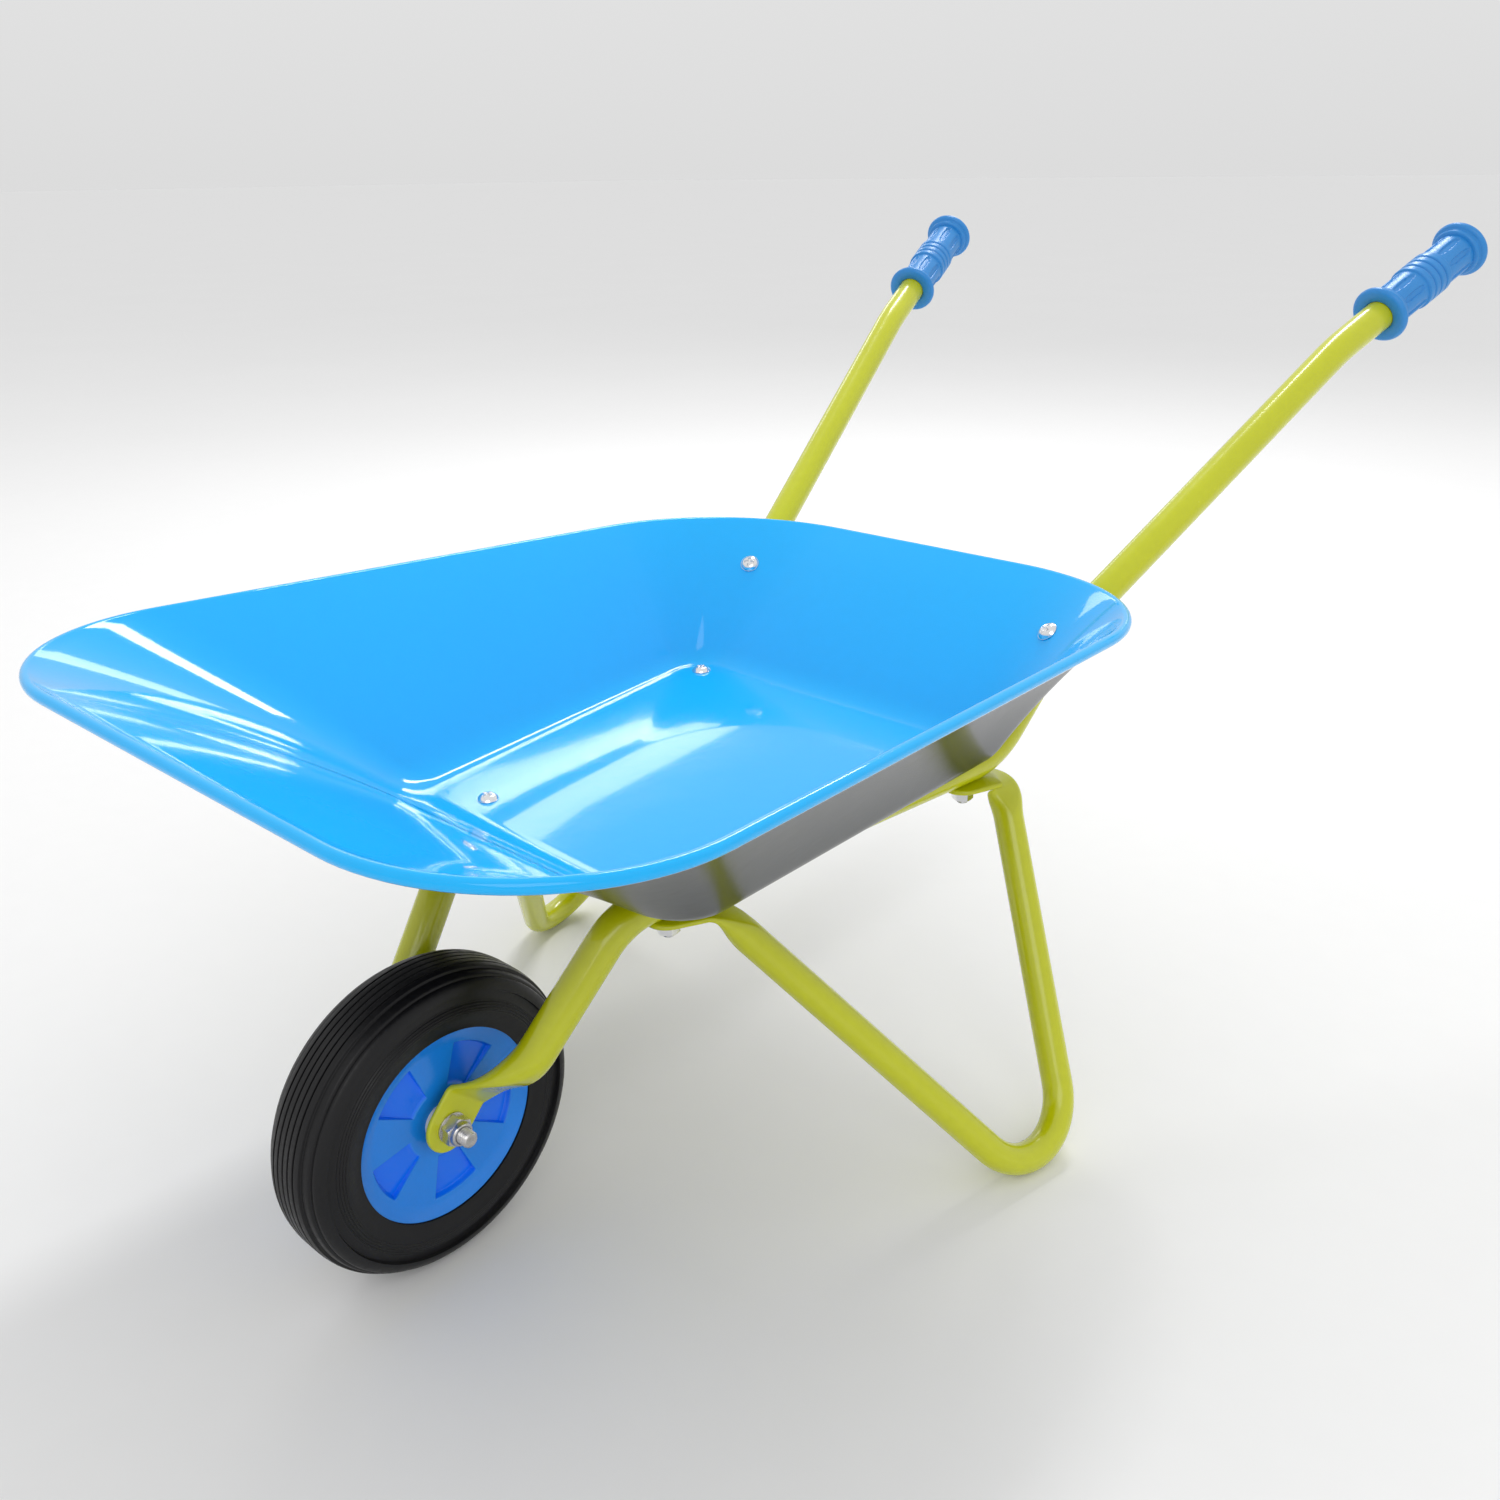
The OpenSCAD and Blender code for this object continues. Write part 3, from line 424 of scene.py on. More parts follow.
def ring(inner, outer, start, end, edge):
    """A flat ring about +Z with its outer edges rounded by a small quarter circle."""
    a = np.linspace(0, np.pi / 2, 5)
    low = np.stack([outer - edge + edge * np.sin(a), start + edge - edge * np.cos(a)], -1)
    high = np.stack([outer - edge + edge * np.cos(a), end - edge + edge * np.sin(a)], -1)
    bore = np.array([[inner, end - edge / 2], [inner, start + edge / 2]])
    lead = np.array([[inner + edge / 2, end], [inner + edge / 2, start]])
    profile = np.vstack([low, high, lead[:1], bore, lead[1:]])
    turn = np.linspace(0, 2 * np.pi, 65)[:-1]
    r, h = profile[:, :1], profile[:, 1:]
    return np.stack([r * np.cos(turn), r * np.sin(turn), h + 0 * turn], -1)


def hex_nut(flats, height, bore, collar_r=None, collar_h=0.0):
    """A nut about +Z: its radius is the hexagon's, cut back near its faces by a cone. A locknut goes on as a
    rolled collar. The bore joins the top to the foot again."""
    turn = np.linspace(0, 2 * np.pi, 97)[:-1]
    hexagon = flats / 2 / np.cos((turn + np.pi / 6) % (np.pi / 3) - np.pi / 6)
    bevel_h, bevel_slope, lead_in = 0.0012, 1.9, 0.0004
    h = np.concatenate([np.linspace(0, bevel_h, 8),
                        np.linspace(bevel_h + 0.0002, height - bevel_h - 0.0002, 6),
                        np.linspace(height - bevel_h, height, 8)])
    cut = flats / 2 + 0.00015 + np.minimum(h, height - h) * bevel_slope
    r = np.minimum(hexagon[None, :], cut[:, None])
    walls = [np.stack([r * np.cos(turn), r * np.sin(turn), h[:, None] + 0 * r], -1)]
    top = height
    if collar_r:
        a, round_r = np.linspace(0, np.pi / 2, 8), 0.0012
        top = height + collar_h
        rise = np.concatenate([[height, top - round_r], top - round_r + round_r * np.sin(a)])[:, None]
        rad = np.concatenate([[collar_r + 0.0003, collar_r], collar_r - round_r + round_r * np.cos(a)])
        rad = rad[:, None]
        walls.append(np.stack([rad * np.cos(turn), rad * np.sin(turn), rise + 0 * turn], -1))
    lead_r = np.array([bore + lead_in, bore, bore, bore + lead_in])[:, None]
    lead_h = np.array([top, top - lead_in, lead_in, 0.0])[:, None]
    walls.append(np.stack([lead_r * np.cos(turn), lead_r * np.sin(turn), lead_h + 0 * turn], -1))
    return np.concatenate(walls)


ear_face, ear_t, nut_seat = 0.0184, 0.0028, 0.0194
axle_hole_r, axle_ring_r, spacer_start = 0.0041, 0.0075, 0.0133
locknut_flats, locknut_h, rolled_r, rolled_h = 0.013, 0.0056, 0.0058, 0.0024
for side, sign in SIDES.items():
    out = (sign, 0, 0)
    shape = ring(axle_hole_r, axle_ring_r, spacer_start, ear_face - ear_t, 0.0003)
    spacer = skin(f"axle_spacer_ring_{side}", set_down(shape, wheel_axis, out), close_rows=True)
    shape = ring(axle_hole_r, axle_ring_r, ear_face, nut_seat, 0.0002)
    washer = skin(f"axle_washer_ring_{side}", set_down(shape, wheel_axis, out), close_rows=True)
    shape = hex_nut(locknut_flats, locknut_h, axle_r, rolled_r, rolled_h)
    seat = wheel_axis + np.array([sign * nut_seat, 0, 0])
    nut = skin(f"axle_locknut_{side}", set_down(shape, seat, out), close_rows=True, crease=25)
    fit(spacer, "frame", [f"axle_spacer_{side}"], zinc)
    fit(washer, "frame", [f"axle_washer_{side}"], zinc)
    fit(nut, "frame", [f"axle_nut_{side}"], zinc)


# ---- The main tubes: one lime-enamelled 18 mm steel tube a side. It is pressed flat at the axle
# into an ear and folded, then it is bent under the tray and runs on up to the grip.

def unit(v):
    """A vector, or each row of an array of them, divided by its own length."""
    v = np.asarray(v, float)
    return v / np.linalg.norm(v, axis=-1, keepdims=True)


def corner(path, k, radius, count):
    """Points and directions of a circular bend that touches the two straights meeting at path[k]."""
    d0, d1 = unit(path[k] - path[k - 1]), unit(path[k + 1] - path[k])
    angle = np.arccos(np.clip(d0 @ d1, -1, 1))
    inward = unit(d1 - d0 * (d0 @ d1))
    a = np.linspace(0, angle, count)[:, None]
    start = path[k] - d0 * radius * np.tan(angle / 2)
    points = start + d0 * radius * np.sin(a) + inward * radius * (1 - np.cos(a))
    return points, d0 * np.cos(a) + inward * np.sin(a)


def round_run(points, directions, d):
    """Stations of round tube: each row is a point, a direction, a thickness and a width."""
    return np.hstack([points, directions, np.full((len(points), 2), d)])


def flattening(p0, d0, p1, d1, t, w, d, count):
    """Stations from flat at p0 to round at p1 along a cubic curve with those end directions. The girth
    stays that of the round tube until the width reaches w."""
    q = np.linspace(0, 1, count)[:, None]
    s, reach = q * q * (3 - 2 * q), np.linalg.norm(p1 - p0)
    points = p0 * (1 - s) + p1 * s + d0 * reach * q * (1 - q) ** 2 - d1 * reach * q ** 2 * (1 - q)
    heading = (p1 - p0) * 6 * q * (1 - q) + d0 * reach * (1 - q) * (1 - 3 * q) + d1 * reach * q * (3 * q - 2)
    thick = d + (t - d) * step((1 - q) / 0.85)
    width = np.minimum(thick + np.pi * (d - thick) / 2, w + (d - w) * s + 0.0015 * q)
    return np.hstack([points, unit(heading), thick, width])


def tongue_tip(middle, direction, t, w):
    """Stations of a flat tongue's half-round tip: its width is w times the cosine of an angle that
    falls from a right angle to nothing."""
    a = np.radians(np.array([86, 80, 72, 62, 52, 42, 32, 22, 11, 0]))[:, None]
    row = np.ones_like(a)
    thin = t * (1 - 0.75 * np.exp(-(np.radians(88) - a) / 0.12))
    return np.hstack([middle - direction * w / 2 * np.sin(a), row * direction, thin, w * np.cos(a)])


def swept(stations, thin_dir, sides=48):
    """The tube's surface: round each station, half circles of the thickness stand on the two ends of a flat
    that makes up the width."""
    ahead = unit(stations[:, 3:6])
    thin = unit(thin_dir - ahead * (ahead @ np.asarray(thin_dir))[:, None])
    across = np.cross(ahead, thin)
    b = np.minimum(stations[:, 6:7], stations[:, 7:8] * 0.999) / 2
    a = stations[:, 7:8] / 2 - b
    q = 2 * np.pi * (np.arange(sides)[None, :] + 0.5) / sides
    side, face = np.sign(np.cos(q)) * a + b * np.cos(q), -b * np.sin(q)
    return stations[:, None, :3] + across[:, None] * side[..., None] + thin[:, None] * face[..., None]


def both_sides(grid):
    """A left-hand surface and its mirror image in the plane between the two sides."""
    return {"left": grid, "right": grid * np.array([-1.0, 1.0, 1.0])}


tube_r, sheet_t, tube_gap = 0.009, 0.001, 0.0004
floor_front, floor_rear, floor_front_h, floor_rear_h = 0.0684, 0.309, 0.181, 0.1928
axle_y, axle_h = wheel_axis[1:]
floor_rise = (floor_rear_h - floor_front_h) / (floor_rear - floor_front)
floor_up = unit([0, -floor_rise, 1])


def on_floor(x, y):
    """The point of the tray's floor at x across and y behind the axle."""
    return np.array([x, y + axle_y, floor_front_h + (y - floor_front) * floor_rise])


# The tray's bolt holes, and the corners of the tube's path, from the fork up to the handle's end
bolt_front_x, bolt_front_y, bolt_rear_x, bolt_rear_edge = 0.063, 0.097, 0.095, 0.015
nose, flat_l, fork_x, fork_set, grip_end = 0.0255, 0.050, 0.048, 0.0057, 0.004
front_seat = on_floor(bolt_front_x, bolt_front_y)
rear_seat = on_floor(bolt_rear_x, floor_rear - bolt_rear_edge)
wall_seat = np.array([0.10593, 0.352317 + axle_y, 0.246193])
wall_up = unit([-0.3175, -0.634, 0.705])
wall_mid = np.array([0.108896, 0.358218 + axle_y, 0.239768])
drop_foot = np.array([0.0985104, 0.316121 + axle_y, 0.182737])
crook = np.array([0.1583, 0.572 + axle_y, 0.3775])
handle_end = np.array([0.1847, 0.6835 + axle_y, 0.4303])
handle_dir = unit(handle_end - crook)
ear_tilt, fold_angle = np.radians(47.8), np.radians(46.5)
ear_mid_x, ear_l, ear_w, fold_r = ear_face - ear_t / 2, 0.0154, 0.026, 0.0045
ear_up = np.array([0, np.cos(ear_tilt), np.sin(ear_tilt)])
ear_across = np.array([0, np.sin(ear_tilt), -np.cos(ear_tilt)])
nose_point = front_seat - floor_up * (sheet_t + tube_gap + tube_r) - unit(rear_seat - front_seat) * nose
fork_end = np.array([fork_x, axle_y, axle_h]) + ear_up * flat_l - ear_across * fork_set
ear_foot = wheel_axis + np.array([ear_mid_x, 0, 0])
fold_point = ear_foot + ear_up * ear_l
fold_dir = ear_up * np.cos(fold_angle) + np.array([np.sin(fold_angle), 0, 0])
fork_dir = unit(nose_point - fork_end)

fold, fold_way = corner(np.array([ear_foot, fold_point, fold_point + fold_dir]), 1, fold_r, 9)
tube_path = np.array([fork_end, nose_point, drop_foot, wall_mid, crook, handle_end - handle_dir * grip_end])
tube_bends = [0.035, 0.038, 0.090, 0.150]
stations = [
    tongue_tip(ear_foot, ear_up, ear_t, ear_w),
    np.hstack([fold, fold_way, np.full((9, 1), ear_t), np.full((9, 1), ear_w)]),
    flattening(fold[-1], fold_dir, fork_end, fork_dir, ear_t, ear_w, 2 * tube_r, 40)[1:-1],
    round_run(fork_end[None], fork_dir[None], 2 * tube_r)]
stations += [round_run(*corner(tube_path, k + 1, r, 25), 2 * tube_r) for k, r in enumerate(tube_bends)]
stations += [round_run(tube_path[-1:], handle_dir[None], 2 * tube_r)]

# Enamel skin: the height of sprayed paint, with orange peel, broader waves and a few specks under the film
enamel_skin, shade, given, put = new_group(
    "enamel_skin", [("Peel", "NodeSocketFloat", 1.0)], [("Height", "NodeSocketFloat")])
place = shade.add("ShaderNodeTexCoord")
peel = shade.add("ShaderNodeTexNoise", Vector=place.outputs["Object"], Scale=260.0, Detail=1.5)
waves = shade.add("ShaderNodeTexNoise", Vector=place.outputs["Object"], Scale=34.0, Detail=1.0)
specks = shade.add("ShaderNodeTexVoronoi", Vector=place.outputs["Object"], Scale=150.0)
nib = shade.add("ShaderNodeMapRange", Value=specks.outputs["Distance"], From_Min=0.0, From_Max=0.055,
                To_Min=1.0, To_Max=0.0)
fine = shade.add("ShaderNodeMath", operation="MULTIPLY", in0=peel.outputs["Fac"], in1=given.outputs["Peel"])
rough = shade.add("ShaderNodeMath", operation="MULTIPLY_ADD", in0=waves.outputs["Fac"], in1=2.2,
                  in2=fine.outputs[0])
total = shade.add("ShaderNodeMath", operation="MULTIPLY_ADD", in0=nib.outputs["Result"], in1=0.5,
                  in2=rough.outputs[0])
shade.link(total.outputs[0], put.inputs["Height"])

lime_enamel, shade, shader = new_material("lime_enamel", IOR=1.5, Coat_Weight=0.4, Coat_Roughness=0.05)
drifted(shade, shader, (0.53, 0.56, 0.0), 0.10, 16.0, 0.25)
film = shade.add("ShaderNodeGroup", node_tree=enamel_skin)
bumped(shade, shader, film.outputs["Height"], 0.25, 0.00025)
for side, grid in both_sides(swept(np.vstack(stations), (1, 0, 0))).items():
    tube = skin(f"bent_tube_{side}", grid, crease=40)
    fit(tube, "frame", [f"main_tube_{side}"], lime_enamel)


# ---- The legs: one 16 mm steel tube a side, bent to a V. Its two ends are pressed flat and bolted
# up under the main tube; the bend is the foot.

leg_d, tab_t, tab_w, leg_flat_l, knee_back, foot_bend = 0.016, 0.003, 0.022, 0.024, 0.007, 0.0324
tab_drop = sheet_t + tube_gap + 2 * tube_r + tab_t / 2
foot_x, foot_ahead = 0.1845, 0.054
foot = np.array([foot_x, rear_seat[1] - foot_ahead, leg_d / 2])


def tab_and_knee(seat, out, back):
    """The middle of a flattened end under a bolt, and the point where it turns into the strand."""
    middle = seat - floor_up * tab_drop
    return middle, middle + np.array([out, back, back * floor_rise])


front_tab, front_knee = tab_and_knee(front_seat, 0.011, 0.020)
rear_tab, rear_knee = tab_and_knee(rear_seat, 0.0095, 0.023)

# The bend lies in the plane of the two knees and the foot, and its lowest point is the foot
leg_normal = unit(np.cross(front_knee - foot, rear_knee - foot))
leg_level = unit(np.cross(leg_normal, [0, 0, 1]))
leg_rise = np.cross(leg_level, leg_normal)
bend_mid = foot + leg_rise * foot_bend
seen = np.array([[(k - bend_mid) @ leg_level, (k - bend_mid) @ leg_rise] for k in (front_knee, rear_knee)])
touch = np.arctan2(seen[:, 1], seen[:, 0]) - np.sign(seen[:, 0]) * np.arccos(foot_bend / np.hypot(*seen.T))
touch = np.where(touch > 0, touch - 2 * np.pi, touch)
middle_a, half_a = touch.mean(), abs(touch[1] - touch[0]) / 2
bisector = leg_level * np.cos(middle_a) + leg_rise * np.sin(middle_a)
leg_meet = bend_mid + bisector * foot_bend / np.cos(half_a)


def leg_end(tab, knee):
    """Stations from the tip of a flattened end to the round strand."""
    flat_dir, strand = unit(knee - tab), unit(leg_meet - knee)
    opening = flattening(knee - flat_dir * knee_back, flat_dir, knee + strand * leg_flat_l, strand,
                         tab_t, tab_w, leg_d, 30)
    return np.vstack([tongue_tip(tab, flat_dir, tab_t, tab_w), opening])


rear_end = leg_end(rear_tab, rear_knee)[::-1].copy()
rear_end[:, 3:6] *= -1
foot_run = round_run(*corner(np.array([front_knee, leg_meet, rear_knee]), 1, foot_bend, 40), leg_d)
leg_grid = swept(np.vstack([leg_end(front_tab, front_knee), foot_run, rear_end]), floor_up)
for side, grid in both_sides(leg_grid).items():
    leg = skin(f"bent_leg_{side}", grid, crease=40)
    fit(leg, "frame", [f"leg_{side}"], lime_enamel)


# ---- The tray: one sheet of steel pressed to a flared tub, its rim rolled outwards round a wire.
# It is enamelled sky blue within and over the rim; its outside is coloured a near-black blue, painted shade
# that stands in for the dark the outside sits in.

rim_front, rim_rear, rim_front_h, rim_rear_h = -0.095, 0.3882, 0.2846, 0.2684
floor_half_front, floor_half_rear, rim_half_front, rim_half_rear = 0.104, 0.113, 0.193, 0.1616
floor_corner, rim_corner_front, rim_corner_rear = 0.022, 0.087, 0.103
bead_r, bead_sweep, bead_steps, blue_steps = 0.0028, np.radians(285), 31, 24
wall_start, fillet = 1.25, 0.095


def wall_height(u):
    """Share of the wall's height at the level u: a parabola through the fillet, then a line, less a
    quarter of u squared, so that the wall leans out more towards the rim."""
    rise = np.where(u < fillet, wall_start * (u + fillet) ** 2 / (4 * fillet), wall_start * u)
    return rise - (wall_start - 1) * np.maximum(u, 0) ** 2


def between(a, b, t):
    """The value that is the share t of the way from a to b."""
    return a + (b - a) * t


def outline(u, grown, count):
    """Plan outline at the level u, grown outwards: four corner arcs that touch the sides of a trapezium."""
    front, rear = between(floor_front, rim_front, u) - grown, between(floor_rear, rim_rear, u) + grown
    half_f = between(floor_half_front, rim_half_front, u) + grown
    half_r = between(floor_half_rear, rim_half_rear, u) + grown
    r_front = between(floor_corner, rim_corner_front, u) + grown
    r_rear = between(floor_corner, rim_corner_rear, u) + grown
    p = np.array([[-half_f, front], [half_f, front], [half_r, rear], [-half_r, rear]])
    to_last, to_next = unit(np.roll(p, 1, 0) - p), unit(np.roll(p, -1, 0) - p)
    half = np.arccos((to_last * to_next).sum(1, keepdims=True)) / 2
    r = np.array([r_front, r_front, r_rear, r_rear])[:, None]
    mid = p + unit(to_last + to_next) * r / np.sin(half)
    start = mid - p - to_last * ((mid - p) * to_last).sum(1, keepdims=True)
    a = np.arctan2(-start[:, 1:], -start[:, :1]) + (np.pi - 2 * half) * np.linspace(0, 1, count)[None]
    # Each corner is followed by points along the straight to the next one
    arc = mid[:, None] + r[:, None] * np.stack([np.cos(a), np.sin(a)], -1)
    t = np.linspace(0, 1, 12)[None, 1:-1, None]
    straight = arc[:, -1:] * (1 - t) + np.roll(arc, -1, 0)[:, :1] * t
    return np.concatenate([arc, straight], 1).reshape(-1, 2)


def tray_ring(u, grown, drop):
    """One ring of the sheet: its height is the share wall_height of the way from the floor's edge to the
    rim, less the drop."""
    xy = outline(u, grown, 25)
    front, rear = between(floor_front, rim_front, u), between(floor_rear, rim_rear, u)
    low_u = min(u, 0.0)
    low_f, low_r = between(floor_front, rim_front, low_u), between(floor_rear, rim_rear, low_u)
    t = (xy[:, 1] - front) / (rear - front)
    low = floor_front_h + (between(low_f, low_r, t) - floor_front) * floor_rise
    z = between(low, between(rim_front_h, rim_rear_h, t), wall_height(np.array(u))) - drop
    return np.column_stack([xy[:, 0], xy[:, 1] + axle_y, z])


wall_run = ((rim_half_front + rim_half_rear) - (floor_half_front + floor_half_rear)) / 2
wall_rise = (rim_front_h + rim_rear_h - floor_front_h - floor_rear_h) / 2


def lean(u):
    """Mean slope of the walls at the level u."""
    share = (wall_height(np.array(u + 0.001)) - wall_height(np.array(u - 0.001))) / 0.002
    return np.arctan(share * wall_rise / wall_run)


levels = np.concatenate([np.linspace(-fillet, fillet, 22), np.linspace(fillet, 1, 30)[1:]])
rim_lean = lean(1.0)
inside = [tray_ring(u, 0.0, 0.0) for u in levels]
roll = np.pi / 2 + rim_lean - np.linspace(0, bead_sweep, bead_steps + 1)[1:]
bead = [tray_ring(1.0, bead_r * (np.cos(a) + np.sin(rim_lean)), -bead_r * (np.sin(a) - np.cos(rim_lean)))
        for a in roll]
outside = [tray_ring(u, sheet_t * np.sin(lean(u)), sheet_t * np.cos(lean(u))) for u in levels[::-1]]
middle_ring = [between(inside[0], inside[0].mean(0), t) for t in (0.66, 0.33)]
under_ring = [between(outside[-1], outside[-1].mean(0), t) for t in (0.33, 0.66)]
tray_grid = np.array(middle_ring + inside + bead + outside + under_ring)
tray = skin("pressed_tray", tray_grid, crease=60)

# 1 on the blue inside and the top of the bead, 0 on the outside, which gets the painted shade
blue = np.ones(len(tray.data.vertices), np.float32)
dark_from = len(middle_ring) + len(inside) + blue_steps
blue[dark_from * tray_grid.shape[1]:-2] = 0.0
blue[-1] = 0.0
tray.data.attributes.new("painted_blue", "FLOAT", "POINT").data.foreach_set("value", blue)

# Tray enamel: the blue within and a near-black painted shade on the outside meet on the bead; only the blue
# has a clear gloss over it
tray_enamel, shade, shader = new_material("tray_enamel", IOR=1.5, Specular_IOR_Level=0.12,
                                          Coat_Roughness=0.03)
inner = drifted(shade, shader, (0.0, 0.44, 0.93), 0.05, 9.0, 0.10)
side_of = shade.add("ShaderNodeAttribute", attribute_name="painted_blue")
blue_mask = shade.add("ShaderNodeMapRange", Value=side_of.outputs["Fac"], From_Min=0.3, From_Max=0.7)
blue_and_painted_shade = shade.add("ShaderNodeMix", data_type="RGBA")
shade.link(blue_mask.outputs["Result"], blue_and_painted_shade.inputs[0])
# Painted shade: the outside's near-black blue stands in for the shade that falls on it
blue_and_painted_shade.inputs[6].default_value = (0.004, 0.010, 0.020, 1)
shade.link(inner.outputs["Color"], blue_and_painted_shade.inputs[7])
shade.link(blue_and_painted_shade.outputs[2], shader.inputs["Base Color"])
gloss = shade.add("ShaderNodeMath", operation="MULTIPLY", in0=blue_mask.outputs["Result"], in1=0.7)
shade.link(gloss.outputs[0], shader.inputs["Coat Weight"])
satin = shade.add("ShaderNodeMapRange", Value=blue_mask.outputs["Result"], To_Min=0.12, To_Max=0.0)
duller = shade.add("ShaderNodeMath", operation="ADD", in0=satin.outputs["Result"],
                   in1=inner.outputs["Roughness"])
shade.link(duller.outputs[0], shader.inputs["Roughness"])
film = shade.add("ShaderNodeGroup", node_tree=enamel_skin)
film.inputs["Peel"].default_value = 0.8
bumped(shade, shader, film.outputs["Height"], 0.22, 0.00022)
fit(tray, "frame", ["tray"], tray_enamel)


# ---- The grips: soft blue plastic, moulded with two flanges, stepped collars, a band of rings in
# the middle and long thumb grooves, and pushed over the ends of the tubes.

grip_l, grip_r, flange_r, flange_t = 0.086, 0.0122, 0.017, 0.005
grip_bore_r = tube_r + 0.00005
band_half, band_pitch, band_rise = 0.0112, 0.0056, 0.0012
groove_count, groove_half_l, groove_w, thumb_depth = 8, 0.0105, 0.42, 0.0010
edge = np.linspace(-np.pi / 2, np.pi / 2, 13)


def flange_part(at):
    """Profile of one flange: a half circle round its edge, as radius and height."""
    rim = flange_r - flange_t / 2
    return np.stack([rim + flange_t / 2 * np.cos(edge), at + flange_t / 2 * (1 + np.sin(edge))], -1)


collar_r, barrel_from = 0.0144, 0.0034
barrel_h = np.linspace(flange_t + barrel_from, grip_l - flange_t - barrel_from, 200)
from_middle = barrel_h - grip_l / 2
in_band = step((band_half - np.abs(from_middle)) / 0.0006)
rings = band_rise * in_band * step(np.abs(np.sin(np.pi * from_middle / band_pitch)) * 1.7)
barrel = np.stack([grip_r + rings, barrel_h], -1)
profile = np.vstack([
    [[grip_bore_r, 0.004], [grip_bore_r, 0.0006], [grip_bore_r + 0.0006, 0.0]], flange_part(0.0),
    [[collar_r + 0.0008, flange_t], [collar_r, flange_t + 0.0006], [collar_r, flange_t + 0.0026],
     [collar_r - 0.0006, flange_t + 0.0032]],
    barrel,
    [[collar_r - 0.0006, grip_l - flange_t - 0.0032], [collar_r, grip_l - flange_t - 0.0026],
     [collar_r, grip_l - flange_t - 0.0006], [collar_r + 0.0008, grip_l - flange_t]],
    flange_part(grip_l - flange_t),
    [[0.0132, grip_l], [0.0126, grip_l - 0.0007], [0.0085, grip_l - 0.0009], [0.004, grip_l - 0.0007],
     [0.0012, grip_l - 0.0006]]])

# The thumb grooves are ovals, one row on each side of the band
turn = np.linspace(0, 2 * np.pi, 193)[:-1]
h = profile[:, 1:]
half_place = (grip_l / 2 - flange_t - barrel_from + band_half) / 2
lengthways = (np.abs(h - grip_l / 2) - half_place) / groove_half_l
sideways = (((turn / (2 * np.pi) * groove_count) % 1) - 0.5)[None, :] * 2 / groove_w
oval = np.abs(lengthways) ** 2.6 + np.abs(sideways) ** 2.2
on_barrel = ((h > flange_t + 0.003) & (h < grip_l - flange_t - 0.003)).astype(float)
r = profile[:, :1] - thumb_depth * step((1.15 - oval) / 0.5) * on_barrel
grip_local = np.stack([r * np.cos(turn), r * np.sin(turn), h + 0 * r], -1)
grip_grid = set_down(grip_local, handle_end - handle_dir * grip_l, handle_dir)

grip_plastic, shade, shader = new_material("grip_plastic", IOR=1.5)
base = drifted(shade, shader, (0.022, 0.235, 0.61), 0.16, 60.0, 0.36)
bumped(shade, shader, base.outputs["Fine"], 0.35, 0.0003)
for side, grid in both_sides(grip_grid).items():
    fit(skin(f"hand_grip_{side}", grid, crease=50), "frame", [f"grip_{side}"], grip_plastic)


# ---- The tray's bolts: six chromed M6 bolts with pan heads and cross recesses, dropped through the
# tray and tube, with a washer and a nut underneath. The four floor bolts hold the leg ends too.

bolt_r, bolt_pitch, bolt_bevel, thread_out = 0.003, 0.001, 0.0006, 0.0025
head_r, head_h, head_edge, head_finer = 0.0057, 0.003, 0.0003, 3
washer_r, washer_t, nut_flats, nut_h, hole_play = 0.0065, 0.0012, 0.010, 0.005, 0.0003


def pan_bolt(length):
    """A bolt about +Z with its seat at nothing: a threaded shank, then a domed head whose height is lowered
    where a point falls inside either bar of the cross."""
    shank = threaded_rod(bolt_r, -length, 0.0, bolt_pitch, bolt_bevel, -length * 0.55, 0.01)[:-1]
    rod_sides = shank.shape[1]
    head_sides = rod_sides * head_finer
    turn = np.linspace(0, 2 * np.pi, head_sides + 1)[:-1]
    part = np.arange(head_sides) / head_finer
    low, share = part.astype(int), (part % 1)[None, :, None]
    shank = shank[:, low] * (1 - share) + shank[:, (low + 1) % rod_sides] * share
    rim_a = np.linspace(0, np.pi / 2, 6)[1:]
    dome = (head_r ** 2 + head_h ** 2) / (2 * head_h)
    r = np.concatenate([[head_r - head_edge], head_r - head_edge + head_edge * np.sin(rim_a),
                        np.linspace(head_r - 0.00005, 0.0002, 44)])
    z_top = head_h - dome + np.sqrt(np.maximum(dome ** 2 - r[6:] ** 2, 0))
    rise, flat = np.clip(z_top / head_h, 0, 1), 0.0024
    z_top = flat * (1 - (1 - rise) ** 1.7) + (head_h - flat) * rise
    z = np.concatenate([[0.0], head_edge - head_edge * np.cos(rim_a), np.maximum(z_top, 0.0004)])
    x, y = r[:, None] * np.cos(turn), r[:, None] * np.sin(turn)
    bar, reach = 0.00075, 0.0029

    def in_bar(a, b):
        return step((bar - np.abs(a)) / 0.0003 + 0.5) * step((reach - np.abs(b)) / 0.0005 + 0.5)

    cross = np.maximum(in_bar(x, y), in_bar(y, x)) * (np.arange(len(r)) > 8)[:, None]
    depth = 0.0016 * cross * (0.6 + 0.4 * step(1 - np.hypot(x, y) / reach))
    head = np.stack([x, y, z[:, None] - depth], -1)
    return np.concatenate([shank, head])


